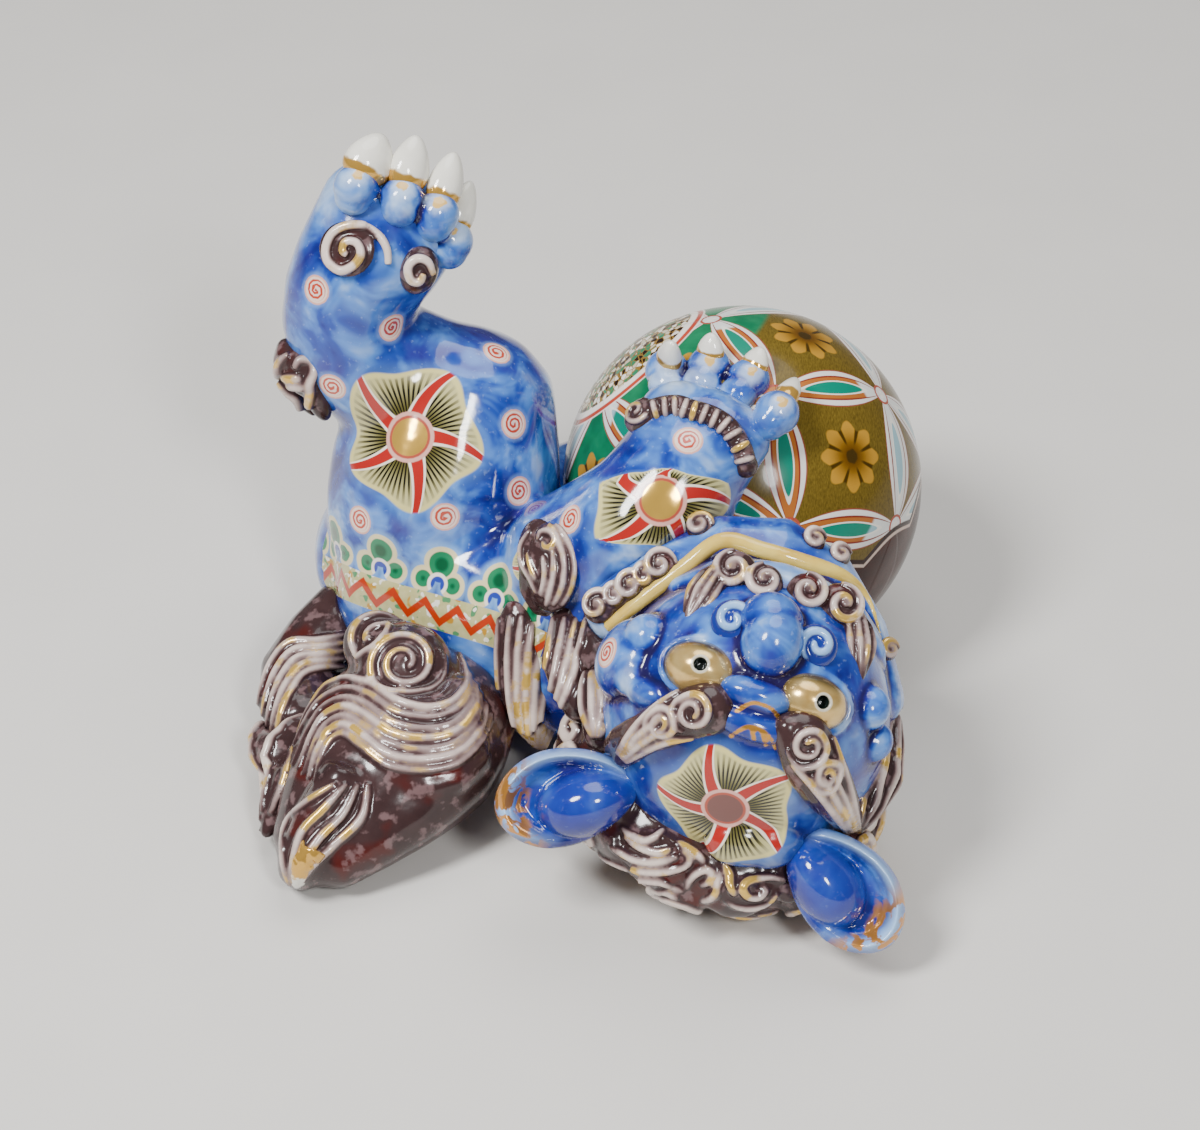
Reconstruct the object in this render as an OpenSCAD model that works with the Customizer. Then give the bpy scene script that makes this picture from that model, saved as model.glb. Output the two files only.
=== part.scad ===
// Guardian lion figurine in glazed porcelain.
// The lion lies on its right side with its back to the front, hugs a hollow ball
// and kicks its left hind leg into the air. The parts are cast or modelled one by one,
// cut to each other's shape and luted together with slip before firing; nothing moves.
// Frame: +Z up, millimetres, origin at the middle of the footprint on the table.

/* [Ball] */
// Outer diameter of the ball
ball_d = 81; // [66:1:96]
// Wall of the hollow ball
ball_wall = 4; // [2.5:0.5:8]
// Depth ground off the ball for its flat foot
ball_foot = 1; // [0.5:0.1:4]
// Vent hole in the foot of the ball
ball_vent_d = 4; // [2:0.5:8]

/* [Body] */
// Thickness of the trunk
body_d = 51; // [44:1:58]
// Hip to shoulder length of the trunk
body_len = 40; // [32:1:48]
// Wall of the hollow trunk, thigh, head and tail
wall = 4; // [2.5:0.5:6]
// Depth of the dent that the ball presses into the chest
chest_press = 6; // [3:0.5:10]
// Vent hole under the trunk
vent_d = 5; // [3:0.5:8]
// Thickness of the neck
neck_d = 42; // [34:1:48]
// Free length of the neck between shoulder and skull
neck_len = 25; // [21:1:28]

/* [Head] */
// Width of the skull
head_w = 60; // [52:1:66]
// Length of the skull from nape to muzzle
head_len = 66; // [58:1:72]
// Height of the skull from throat to crown
head_h = 58; // [50:1:64]
// Height of the middle of the skull above the table
head_lift = 36; // [33:0.5:39]
// Lean of the head towards the ball side
head_lean = 12; // [0:1:24]
// Tip of the head from upright to face up
head_pitch = 95; // [88:1:102]
// Turn of the head about its own snout
head_roll = -13; // [-24:1:0]

/* [Face] */
// Diameter of an eyeball
eye_d = 14; // [11:0.5:17]
// Pierced pupil
pupil_d = 2; // [1.5:0.1:4]
// Width of the nose
nose_w = 17; // [13:0.5:20]
// Diameter of a nostril curl
nostril_d = 8; // [6:0.5:10]
// Width of the muzzle
muzzle_w = 50; // [42:1:54]
// Width of the lower jaw
jaw_w = 58; // [52:1:62]
// Thickness of the yellow lip roll
lip_d = 4.6; // [3.4:0.2:6]
// Diameter of a moustache curl
moustache_d = 6.6; // [5:0.2:8]
// Diameter of a beard curl
beard_d = 8.4; // [6:0.2:10]
// Thickness of an eyebrow
brow_d = 9; // [7:0.5:11]
// Diameter of a cheek knob
knob_d = 9; // [7:0.5:11]

/* [Ears and mane] */
// Length of an ear from root to tip
ear_len = 27; // [20:1:34]
// Width of an ear
ear_w = 19; // [15:0.5:23]
// Thickness of an ear
ear_t = 8; // [6:0.5:10]
// Width of the mane behind the skull
mane_w = 68; // [66:1:76]
// Depth of the mane from front to back
mane_len = 34; // [30:1:40]
// Diameter of a snail curl of the mane
mane_curl_d = 13; // [10:0.5:15]
// Thickness of a mane lock
lock_d = 10; // [7:0.5:13]

/* [Hind legs] */
// Thickness of the raised thigh
thigh_d = 50; // [44:1:54]
// Hip to knee length of the raised leg
thigh_len = 30; // [26:1:36]
// Thickness of a hind shank
shank_d = 28; // [24:1:32]
// Knee to hock length of the raised leg
shank_len = 20; // [17:1:24]
// Hock to toe length of the raised leg
foot_len = 35; // [29:1:41]

/* [Fore legs] */
// Thickness of an upper arm
arm_d = 32; // [28:1:36]
// Thickness of a wrist
wrist_d = 27; // [23:1:30]

/* [Paws] */
// Diameter of a toe knuckle
toe_d = 9; // [7:0.5:10]
// Spacing of the toes
toe_pitch = 8.2; // [7:0.1:9.5]
// Thickness of a claw
claw_d = 6.4; // [4.6:0.2:7.2]
// Length of a claw
claw_len = 9; // [7:0.5:12]

/* [Tail] */
// Thickness of the tail stem
tail_d = 18; // [14:1:22]
// Thickness of the bushy plume
plume_d = 42; // [36:1:48]
// Length of the plume from curl to tip
plume_len = 52; // [44:1:60]
// Thickness of a hair ridge across the plume
ridge_d = 4; // [3:0.5:5]
// Diameter of a hair curl on legs and tail
curl_d = 11; // [8:0.5:14]

/* [Hidden] */

$fn = 32;
// Sides round a swept form, a small form and a curl
form_sides = 14;
small_sides = 10;
curl_sides = 8;

// Glaze colours
blue = [0.16, 0.28, 0.62];
mauve = [0.42, 0.33, 0.36];
gold = [0.78, 0.62, 0.28];
cream = [0.93, 0.91, 0.86];
lemon = [0.86, 0.80, 0.42];
amber = [0.55, 0.42, 0.20];

// Half sizes
ball_r = ball_d / 2;
body_r = body_d / 2;
neck_r = neck_d / 2;
skull = [head_w / 2, head_len / 2, head_h / 2];
thigh_r = thigh_d / 2;
shank_r = shank_d / 2;
arm_r = arm_d / 2;
wrist_r = wrist_d / 2;
toe_r = toe_d / 2;
claw_r = claw_d / 2;
tail_r = tail_d / 2;
plume_r = plume_d / 2;
curl_r = curl_d / 2;
mane_curl_r = mane_curl_d / 2;

// Where the ball stands, and the heading of the trunk and neck in plan
ball_at = ball_r * [0.842, 0.864, 0];
body_side = 198;
body_turn = -31.5;
neck_turn = -49.4;
body_press = 0.02 * body_d;

// Landmarks along the trunk
ball_c = ball_at + [0, 0, ball_r - ball_foot];
body_z = [0, 0, body_r - body_press];
spine = plan(body_turn);
mid = ball_at + (ball_r + body_r - chest_press) * plan(body_side) + body_z;
rump = mid - spine * body_len / 2;
shoulder = mid + spine * body_len / 2;
head_c = flat(shoulder) + (skull[1] + neck_len) * plan(neck_turn) + [0, 0, head_lift];
neck = shoulder + 0.45 * (head_c - shoulder);

// Landmarks of the raised left hind leg
hip = flat(rump) + body_r * [0.18, -0.06, 1.42];
knee = hip + thigh_len * aim(56, 64);
shank_top = knee + thigh_r * [-0.28, 0, 0.04];
hock = shank_top + shank_len * aim(178, 38);
heel_bend = hock + 0.38 * foot_len * aim(110, 80);
toe_root = heel_bend + 0.62 * foot_len * aim(18, 60);
kick_axis = aim(50, 56);
kick_side = unit([0.88, 0.04, -0.47]);
kick_out = cross(kick_side, kick_axis);
kick_toes = toe_root + toe_r * (0.44 * kick_side + 0.56 * kick_axis + 0.56 * kick_out);

// Landmarks of the right hind leg on the table
right_hip = flat(rump) + body_r * [0.31, 0.67, 0.71];
right_knee = right_hip + thigh_len * [0.63, 0.43, -0.1];
right_hind_out = aim(134, -27);
right_hind_axis = around(right_hind_out, 175);
right_hind_across = around(right_hind_out, 85);
right_sole = ball_c + (ball_r + 0.35 * shank_r) * right_hind_out;
right_hock = 0.5 * (right_knee + right_sole) + shank_r * [0, 0.14, -0.14];
right_hind_toe_root = ball_c + (ball_r + 0.2 * toe_r) * right_hind_out
    + 0.5 * shank_r * right_hind_axis;

// Landmarks of the left arm over the ball
paw_out = aim(251, 66);
paw_heading = 79;
paw_side = around(paw_out, paw_heading - 90);
paw_axis = around(paw_out, paw_heading);
fore_toes = ball_c + (ball_r + 0.2 * toe_r) * paw_out;
left_paw = fore_toes - paw_axis * 0.6 * wrist_r;
arm_root = shoulder + body_r * [0.12, -0.16, 0.67];
elbow = ball_c + (ball_r + 0.4 * arm_r) * aim(240, 24);
wrist = ball_c + (ball_r + 0.2 * wrist_r) * aim(245, 43);

// Landmarks of the right arm on the table
right_root = flat(shoulder) + body_r * [0.47, -0.24, 0.59];
right_elbow = ball_c + (ball_r + 0.3 * wrist_r) * aim(256, -32);
right_wrist = ball_c + (ball_r + 0.3 * wrist_r) * aim(274, -30);
right_out = aim(288, -27);
right_axis = around(right_out, 5);
right_across = around(right_out, -85);
right_paw = ball_c + (ball_r + 0.25 * wrist_r) * right_out;
right_toes = ball_c + (ball_r + 0.2 * toe_r) * right_out + right_axis * 0.4 * wrist_r;

// Landmarks of the tail
tail_root = flat(rump) + body_r * [-0.55, -0.39, 0.67];
tail_bend = tail_root + tail_r * [-1.22, -1.67, -0.67];
tail_end = tail_bend + tail_r * [0.22, -1.67, 0];
plume_c = flat(tail_root) + plume_r * [0.76, -1.67, 0.76];
plume_turn = 233;
plume_way = plan(plume_turn);
plume_side = plan(plume_turn + 90);

function unit(v) = v / norm(v);
function flat(v) = [v[0], v[1], 0];
function plan(a) = [cos(a), sin(a), 0];
function aim(az, el) = [cos(el) * cos(az), cos(el) * sin(az), sin(el)];
function xyz(s) = [s[0], s[1], s[2]];
function stop(p, a, b) = [p[0], p[1], p[2], a, b];

// Direction across a surface normal, turned by an angle from the level direction
function around(n, a) = let (level = unit(cross([0, 0, 1], n)))
    level * cos(a) + cross(n, level) * sin(a);

// Point moved out to a height above the ball
function on_ball(p, lift) = ball_c + (ball_r + lift) * unit(p - ball_c);

// Point on the skull at a side angle and a height angle, pushed out by a distance
function on_skull(side, rise, out = 0) =
    let (d = [cos(rise) * sin(side), cos(rise) * cos(side), sin(rise)])
    [skull[0] * d[0], skull[1] * d[1], skull[2] * d[2]] + out * d;

// Smooth path through stops of position, half width and half height
function blend(p, q, r, s, t) = 0.5 * (2 * q + (r - p) * t + (2 * p - 5 * q + 4 * r - s) * t * t
    + (3 * q - p - 3 * r + s) * t * t * t);
function along(s, u) = let (n = len(s) - 1, i = min(floor(u), n - 1))
    blend(s[max(i - 1, 0)], s[i], s[i + 1], s[min(i + 2, n)], u - i);
function cap_hoop(s, way, cap, q) =
    stop(xyz(s) + way * cap * min(s[3], s[4]) * sin(q), s[3] * cos(q), s[4] * cos(q));

// Closed skin over a row of elliptical hoops with a pole at each end
module skin(hoops, pole_a, pole_b, ref, sides) {
    last = len(hoops) - 1;
    points = concat([pole_a], [for (k = [0 : last]) let (
            t = unit(xyz(hoops[min(k + 1, last)]) - xyz(hoops[max(k - 1, 0)])),
            s = unit(cross(ref, t)),
            u = cross(t, s))
        for (i = [0 : sides - 1]) let (q = 360 * i / sides)
            xyz(hoops[k]) + hoops[k][3] * cos(q) * s + hoops[k][4] * sin(q) * u], [pole_b]);
    function at(k, i) = 1 + k * sides + i % sides;
    fan_a = [for (i = [0 : sides - 1]) [0, at(0, i), at(0, i + 1)]];
    lower = [for (k = [0 : last - 1], i = [0 : sides - 1]) [at(k, i), at(k + 1, i + 1), at(k, i + 1)]];
    upper = [for (k = [0 : last - 1], i = [0 : sides - 1]) [at(k, i), at(k + 1, i), at(k + 1, i + 1)]];
    fan_b = [for (i = [0 : sides - 1]) [len(points) - 1, at(last, i + 1), at(last, i)]];
    polyhedron(points, concat(fan_a, lower, upper, fan_b));
}

// Limb-like form through stops, rounded at both ends
module form(stops, ref = [0, 0, 1], sides = form_sides, steps = 2, cap = 0.8) {
    last = len(stops) - 1;
    way_a = unit(xyz(stops[0]) - xyz(stops[1]));
    way_b = unit(xyz(stops[last]) - xyz(stops[last - 1]));
    hoops = concat([for (q = [60, 30]) cap_hoop(stops[0], way_a, cap, q)],
        [for (k = [0 : steps * last]) along(stops, k / steps)],
        [for (q = [30, 60]) cap_hoop(stops[last], way_b, cap, q)]);
    skin(hoops, xyz(stops[0]) + way_a * cap * min(stops[0][3], stops[0][4]),
        xyz(stops[last]) + way_b * cap * min(stops[last][3], stops[last][4]), ref, sides);
}

// Egg with its long axis along Y
module egg(r, sides = form_sides, rings = 8) {
    hoops = [for (k = [1 : rings - 1]) let (q = -90 + 180 * k / rings)
        stop([0, r[1] * sin(q), 0], r[0] * cos(q), r[2] * cos(q))];
    skin(hoops, [0, -r[1], 0], [0, r[1], 0], [0, 0, 1], sides);
}

module curl(p, r) {
    translate(p)
        egg(r, curl_sides, 5);
}

// Everything below the table
module below() {
    reach = 400;
    translate([-reach / 2, -reach / 2, -reach])
        cube(reach);
}

module in_head() {
    translate(head_c)
        rotate([0, head_lean, 0])
            rotate([head_pitch, 0, 0])
                rotate([0, head_roll, 0])
                    children();
}

module mirror_if(left) {
    if (left)
        mirror([1, 0, 0])
            children();
    else
        children();
}

// Outer forms that the neighbours are cut to
module ball_form() {
    translate(ball_c)
        sphere(ball_r);
}

module torso_form(inset = 0, sides = form_sides) {
    form([stop(rump - spine * 0.32 * body_r, 0.72 * body_r - inset, 0.76 * body_r - inset),
        stop(rump, body_r - inset, body_r - inset),
        stop(mid, 0.97 * body_r - inset, body_r - inset),
        stop(shoulder, 0.98 * body_r - inset, 0.98 * body_r - inset),
        stop(neck, neck_r - inset, neck_r - inset),
        stop(shoulder + 0.78 * (head_c - shoulder), 0.9 * neck_r - inset, 0.9 * neck_r - inset)],
        sides = sides);
}

module head_form(inset = 0, sides = 16) {
    in_head()
        egg(skull - [inset, inset, inset], sides, 8);
}

module neck_bore() {
    way = shoulder - head_c;
    hull() {
        translate(head_c + 0.3 * way)
            sphere(0.45 * neck_r, $fn = 16);
        translate(head_c + 0.75 * way)
            sphere(0.45 * neck_r, $fn = 16);
    }
}

// Head features in the frame of the skull: +X right, +Y out of the muzzle, +Z to the crown
muzzle_c = [0, 0.42 * skull[1], -0.34 * skull[2]];
muzzle_r = [muzzle_w / 2, 0.58 * skull[1], 0.42 * skull[2]];
jaw_front = 0.68 * skull[1];
jaw_drop = -0.84 * skull[2];
jaw_r = 0.3 * skull[2];
mouth_shift = -0.13 * skull[0];
nose_c = [0, 0.9 * skull[1], 0.26 * skull[2]];
nose_r = [nose_w / 2, 0.46 * nose_w, 0.48 * nose_w];
mane_c = [0, -0.56 * skull[1], 0.1 * skull[2]];
mane_r = [mane_w / 2, mane_len / 2, 1.05 * skull[2]];
eye_side = 27;
eye_rise = 27;
skin_lift = 0.02 * head_w;
ear_root = on_skull(109, 50, -2.5 * skin_lift);
ear_way = unit([0.857, -0.31, 0.41]);
ear_face = unit([0, 0.69, 0.73]);

module muzzle_form() {
    in_head()
        translate(muzzle_c)
            egg(muzzle_r);
}

// Horseshoe round the chin, from one mouth corner to the other
function jaw_spot(q) = [mouth_shift + q * jaw_w / 2,
    jaw_front * (1 - 0.72 * q * q),
    jaw_drop * (1 - 0.6 * q * q)];

module jaw_form() {
    in_head()
        form([for (q = [-1, -0.7, -0.35, 0, 0.35, 0.7, 1]) let (r = jaw_r * (1 - 0.3 * q * q))
            stop(jaw_spot(q), r, 1.15 * r)],
            [0, 0, 1], 12, 1);
}

module nose_form() {
    in_head()
        translate(nose_c)
            egg(nose_r, 12, 6);
}

// Way of a curl from the middle of the mane, spread by the golden angle from the ears to the nape
mane_curls = 32;
golden_angle = 137.5;
function curl_way(k) = let (y = 0.5 - 1.5 * (k + 0.5) / mane_curls, a = golden_angle * k)
    [sqrt(1 - y * y) * cos(a), y, sqrt(1 - y * y) * sin(a)];
function times(v, r) = [v[0] * r[0], v[1] * r[1], v[2] * r[2]];
function over(v, r) = [v[0] / r[0], v[1] / r[1], v[2] / r[2]];

// Pad of the mane with low snail curls where it stands clear of the skull
module mane_form() {
    clear_of_skull = 1.06;
    in_head() {
        translate(mane_c)
            egg(mane_r, 16, 8);
        for (k = [0 : mane_curls - 1]) {
            p = mane_c + times(curl_way(k), mane_r);
            out = unit(over(curl_way(k), mane_r));
            if (norm(over(p, skull)) > clear_of_skull)
                form([stop(p - 0.4 * mane_curl_r * out, mane_curl_r, mane_curl_r),
                    stop(p - 0.05 * mane_curl_r * out, mane_curl_r, mane_curl_r)],
                    [0, 0, 1], curl_sides, 1, 0.14);
        }
    }
}

// Mouth line where the upper lip meets the jaw
function lip_spot(q) = [mouth_shift + q * 1.08 * muzzle_r[0], 0.9 * skull[1] * (1 - 0.7 * q * q),
    -0.64 * skull[2] * (1 - 0.72 * q * q)];

module lip_form() {
    in_head()
        form([for (q = [-1 : 0.25 : 1]) stop(lip_spot(q), lip_d / 2, lip_d / 2)], [0, 0, 1], 8, 1);
}

module eye_place(left) {
    in_head()
        mirror_if(left)
            translate(on_skull(eye_side, eye_rise, -0.28 * eye_d))
                rotate([eye_rise, 0, -eye_side])
                    children();
}

module eye_form(left) {
    eye_place(left)
        egg([eye_d / 2, eye_d / 2, eye_d / 2], 12, 8);
}

module pupil_bore(left) {
    eye_place(left)
        rotate([-90, 0, 0])
            cylinder(d = pupil_d, h = 2 * eye_d, center = true, $fn = 24);
}

module eye(left) {
    color(gold)
        difference() {
            eye_form(left);
            head_form();
            muzzle_form();
            pupil_bore(left);
        }
}

module brow_form(left) {
    in_head()
        mirror_if(left)
            form([stop(on_skull(19, 44, skin_lift), 0.36 * brow_d, 0.36 * brow_d),
                stop(on_skull(36, 49, skin_lift), 0.5 * brow_d, 0.5 * brow_d),
                stop(on_skull(58, 49, skin_lift), 0.5 * brow_d, 0.48 * brow_d),
                stop(on_skull(80, 43, skin_lift), 0.34 * brow_d, 0.34 * brow_d),
                stop(on_skull(96, 36, 0.5 * skin_lift), 0.14 * brow_d, 0.16 * brow_d)],
                [0, 0.2, 1], small_sides, 2);
}

// Point of an ear at a share of its length, pushed out of its cupped face
function ear_spot(t, out = 0) = ear_root + t * ear_len * ear_way + out * ear_t * ear_face;

module ear_form(left) {
    in_head()
        mirror_if(left)
            form([stop(ear_spot(0), 0.26 * ear_w, 0.5 * ear_t),
                stop(ear_spot(0.4), 0.4 * ear_w, 0.5 * ear_t),
                stop(ear_spot(0.75), 0.5 * ear_w, 0.46 * ear_t),
                stop(ear_spot(0.95), 0.38 * ear_w, 0.4 * ear_t)],
                ear_face, 14, 2, 0.9);
}

module ear(left) {
    color(blue)
        difference() {
            ear_form(left);
            in_head()
                mirror_if(left)
                    form([stop(ear_spot(0.5, 0.5), 0.24 * ear_w, 0.26 * ear_t),
                        stop(ear_spot(0.72, 0.52), 0.34 * ear_w, 0.4 * ear_t),
                        stop(ear_spot(0.95, 0.5), 0.26 * ear_w, 0.3 * ear_t)],
                        ear_face, small_sides, 2);
            head_form();
            mane_form();
        }
}

module cheek_mane_form(left) {
    in_head()
        mirror_if(left)
            form([stop(on_skull(88, -22, -skin_lift), 0.5 * lock_d, 0.5 * lock_d),
                stop(on_skull(95, 2, -skin_lift), 0.6 * lock_d, 0.56 * lock_d),
                stop(on_skull(102, 24, -skin_lift), 0.5 * lock_d, 0.5 * lock_d)],
                [0, 1, 0], small_sides, 2);
}

module cheek_mane(left) {
    color(mauve)
        difference() {
            cheek_mane_form(left);
            head_form();
            mane_form();
            jaw_form();
            torso_form();
            ear_form(left);
            brow_form(left);
        }
}

// Toes and claws side by side at the end of a foot
function toe_drop(i) = pow(i - 1.5, 2) - 0.25;
function knuckle(base, axis, side, i) = base + side * (i - 1.5) * toe_pitch
    + cross(side, axis) * toe_r * (1.1 - 0.12 * toe_drop(i)) - axis * toe_r * 0.22 * toe_drop(i);

module toes_form(base, axis, side) {
    for (i = [0 : 3])
        form([stop(knuckle(base, axis, side, i) - axis * toe_r, 0.9 * toe_r, 0.9 * toe_r),
            stop(knuckle(base, axis, side, i) + axis * 0.3 * toe_r, toe_r, toe_r)],
            cross(side, axis), small_sides, 2, 0.9);
}

module claws_form(base, axis, side) {
    down = -cross(side, axis);
    for (i = [0 : 3]) {
        start = knuckle(base, axis, side, i) + axis * toe_r;
        form([stop(start, claw_r, claw_r),
            stop(start + axis * 0.5 * claw_len + down * 0.1 * claw_len, 0.85 * claw_r, 0.85 * claw_r),
            stop(start + axis * 0.85 * claw_len + down * 0.32 * claw_len, 0.4 * claw_r, 0.4 * claw_r)],
            side, 8, 1);
    }
}

module left_thigh_form(inset = 0, sides = form_sides) {
    form([stop(hip, 0.93 * thigh_r - inset, 0.96 * thigh_r - inset),
        stop(0.5 * (hip + knee), thigh_r - inset, 1.02 * thigh_r - inset),
        stop(knee, 0.8 * thigh_r - inset, 0.84 * thigh_r - inset)], [1, 0, 0], sides);
}

module left_shank_form() {
    form([stop(shank_top, 1.2 * shank_r, 1.2 * shank_r),
        stop(hock, 1.04 * shank_r, 1.04 * shank_r),
        stop(heel_bend, shank_r, shank_r),
        stop(0.45 * heel_bend + 0.55 * toe_root, 1.08 * shank_r, 0.98 * shank_r),
        stop(toe_root, 1.1 * shank_r, 0.68 * shank_r)], [0, -0.8, 0.3]);
}

module right_thigh_form() {
    form([stop(right_hip - thigh_r * [0.24, 0.4, 0], 0.72 * thigh_r, 0.72 * thigh_r),
        stop(right_hip, 0.76 * thigh_r, 0.72 * thigh_r),
        stop(right_knee, 0.6 * thigh_r, 0.6 * thigh_r)]);
}

module right_shank_form() {
    form([stop(right_knee, shank_r, shank_r),
        stop(right_hock, 0.9 * shank_r, 0.86 * shank_r),
        stop(right_sole, 0.66 * shank_r, 0.98 * shank_r)]);
}

module left_arm_form() {
    form([stop(arm_root, 1.12 * arm_r, 1.1 * arm_r),
        stop(0.5 * (arm_root + elbow), 1.05 * arm_r, 1.02 * arm_r),
        stop(elbow, arm_r, arm_r)], [1, 0, 0]);
}

module left_forearm_form() {
    form([stop(elbow, 0.9 * arm_r, 0.9 * arm_r),
        stop(on_ball(0.5 * (elbow + wrist), 0.29 * wrist_r), 1.08 * wrist_r, 1.08 * wrist_r),
        stop(wrist, wrist_r, 0.95 * wrist_r),
        stop(left_paw, 1.12 * wrist_r, 0.66 * wrist_r)], paw_out);
}

module right_arm_form() {
    form([stop(right_root, 0.85 * arm_r, 0.85 * arm_r),
        stop(right_elbow, 0.85 * wrist_r, 0.85 * wrist_r)]);
}

module right_forearm_form() {
    form([stop(right_elbow, 0.84 * wrist_r, 0.84 * wrist_r),
        stop(right_wrist, 0.8 * wrist_r, 0.8 * wrist_r),
        stop(right_paw, 0.9 * wrist_r, 0.66 * wrist_r)]);
}

module tail_stem_form() {
    form([stop(tail_root + tail_r * [0.78, 0.33, 0], 0.9 * tail_r, 0.9 * tail_r),
        stop(tail_root, tail_r, tail_r),
        stop(tail_bend, 1.05 * tail_r, tail_r),
        stop(tail_end, 0.9 * tail_r, 0.9 * tail_r)]);
}

// Point of the plume at a share of its length, sunk and moved aside by shares of its half thickness
function plume_spot(t, sink = 0, aside = 0) = plume_c + t * plume_len * plume_way
    + plume_r * (aside * plume_side - [0, 0, sink]);
function plume_stops(inset) = [
    stop(plume_spot(-0.1, 0, 0.05), 0.93 * plume_r - inset, 0.76 * plume_r - inset),
    stop(plume_spot(0.13, 0, 0.12), 1.08 * plume_r - inset, 0.74 * plume_r - inset),
    stop(plume_spot(0.42, 0.19, 0.13), 0.9 * plume_r - inset, 0.58 * plume_r - inset),
    stop(plume_spot(0.68, 0.42, 0.13), 0.56 * plume_r - inset / 2, 0.38 * plume_r - inset / 2)];

module plume_form(inset = 0, sides = form_sides) {
    form(plume_stops(inset), sides = sides);
}

// Point on the plume's skin at a place along its stops and an angle up from its right flank
function on_plume(u, rise) = let (s = along(plume_stops(0), u))
    xyz(s) + s[3] * cos(rise) * plume_side + s[4] * sin(rise) * [0, 0, 1];

// Course of the first hair ridge over the plume: place along its stops and angle from the flank
plume_wave = [[0.25, 64], [0.8, 66], [1.15, 80], [1.25, 102], [1.3, 128], [1.6, 146]];
ridge_step = [0.15, -10];
ridge_count = 5;

// Waves of hair that run over the plume from its right flank towards the tip
module plume_ridges() {
    for (k = [0 : ridge_count - 1])
        form([for (w = plume_wave) let (c = w + k * ridge_step)
            stop(on_plume(c[0], c[1]), ridge_d / 2, ridge_d / 2)],
            [0, 0, 1], 6, 1);
}

// Pieces
module ball() {
    color(amber)
        difference() {
            ball_form();
            translate(ball_c)
                sphere(ball_r - ball_wall);
            translate(flat(ball_c))
                cylinder(d = ball_vent_d, h = 4 * ball_wall, center = true, $fn = 24);
            below();
        }
}

module torso() {
    color(blue)
        difference() {
            torso_form();
            difference() {
                torso_form(wall, small_sides);
                translate(ball_c)
                    sphere(ball_r + wall);
            }
            translate(flat(mid) + [0, 0, -1])
                cylinder(d = vent_d, h = 3 * wall, $fn = 24);
            ball_form();
            head_form();
            below();
        }
}

module head() {
    color(blue)
        difference() {
            head_form();
            head_form(wall, small_sides);
            neck_bore();
            pupil_bore(true);
            pupil_bore(false);
        }
}

module lower_jaw() {
    color(blue)
        difference() {
            jaw_form();
            head_form();
            muzzle_form();
            ball_form();
            torso_form();
        }
}

module muzzle() {
    color(blue)
        difference() {
            muzzle_form();
            head_form();
        }
}

module lip_roll() {
    color(lemon)
        difference() {
            lip_form();
            head_form();
            muzzle_form();
            jaw_form();
        }
}

module nose() {
    color(blue)
        difference() {
            nose_form();
            head_form();
            muzzle_form();
        }
}

module nostril_form() {
    in_head()
        for (s = [-1, 1])
            curl(nose_c + nose_w * [s * 0.56, 0, -0.06], nostril_d * [0.5, 0.5, 0.5]);
}

module nostril_curls() {
    color(blue)
        difference() {
            nostril_form();
            head_form();
            muzzle_form();
            nose_form();
            eye_form(true);
            eye_form(false);
        }
}

module left_eye() eye(true);

module right_eye() eye(false);

module eyebrow(left) {
    color(mauve)
        difference() {
            brow_form(left);
            head_form();
            ear_form(left);
            eye_form(left);
        }
}

module left_eyebrow() eyebrow(true);

module right_eyebrow() eyebrow(false);

module brow_bridge() {
    color(blue)
        difference() {
            in_head()
                curl(on_skull(0, 40, -skin_lift), nose_w * [0.24, 0.4, 0.4]);
            head_form();
            nose_form();
            brow_form(true);
            brow_form(false);
        }
}

// Point before the muzzle, counted in moustache curls across
function on_muzzle(across, front, up) =
    muzzle_c + [across * moustache_d, front * muzzle_r[1], up * muzzle_r[2]];

module moustache() {
    color(mauve)
        difference() {
            in_head() {
                for (i = [-2 : 2])
                    curl(on_muzzle(i * 0.96, 0.99 - 0.018 * i * i, 0.3),
                        moustache_d * [0.5, 0.5, 0.5]);
                for (s = [-1, 1])
                    form([stop(on_muzzle(s * 2.2, 0.86, 0.3), 0.5 * moustache_d, 0.5 * moustache_d),
                        stop(on_muzzle(s * 2.8, 0.74, 0.62), 0.42 * moustache_d, 0.42 * moustache_d),
                        stop(on_muzzle(s * 3.1, 0.62, 0.95), 0.16 * moustache_d, 0.16 * moustache_d)],
                        [0, 1, 0], 8, 2);
            }
            head_form();
            muzzle_form();
            nose_form();
            nostril_form();
            eye_form(true);
            eye_form(false);
        }
}

module beard_form() {
    in_head() {
        for (q = [-0.9, -0.6, -0.3, 0, 0.3, 0.6, 0.9])
            curl(jaw_spot(q) + jaw_r * [0, 0.8, 0.2], beard_d * [0.5, 0.5, 0.5]);
        curl(jaw_spot(-1) + jaw_r * [-0.9, 0.4, 0.4], beard_d * [0.5, 0.5, 0.5]);
    }
}

module beard_curls() {
    color(mauve)
        difference() {
            beard_form();
            head_form();
            muzzle_form();
            jaw_form();
            lip_form();
            ball_form();
            torso_form();
            left_arm_form();
            left_forearm_form();
        }
}

module cheek_knobs() {
    color(blue)
        difference() {
            in_head()
                for (s = [-1, 1])
                    mirror_if(s < 0) {
                        curl(on_skull(54, 16, -0.4 * skin_lift), knob_d * [0.5, 0.5, 0.5]);
                        curl(on_skull(76, 12, -0.4 * skin_lift), knob_d * [0.4, 0.4, 0.4]);
                    }
            head_form();
            muzzle_form();
            brow_form(true);
            brow_form(false);
        }
}

module left_ear() ear(true);

module right_ear() ear(false);

module nape_mane() {
    color(mauve)
        difference() {
            mane_form();
            head_form();
            torso_form();
            below();
        }
}

module left_cheek_mane() cheek_mane(true);

module right_cheek_mane() cheek_mane(false);

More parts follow.
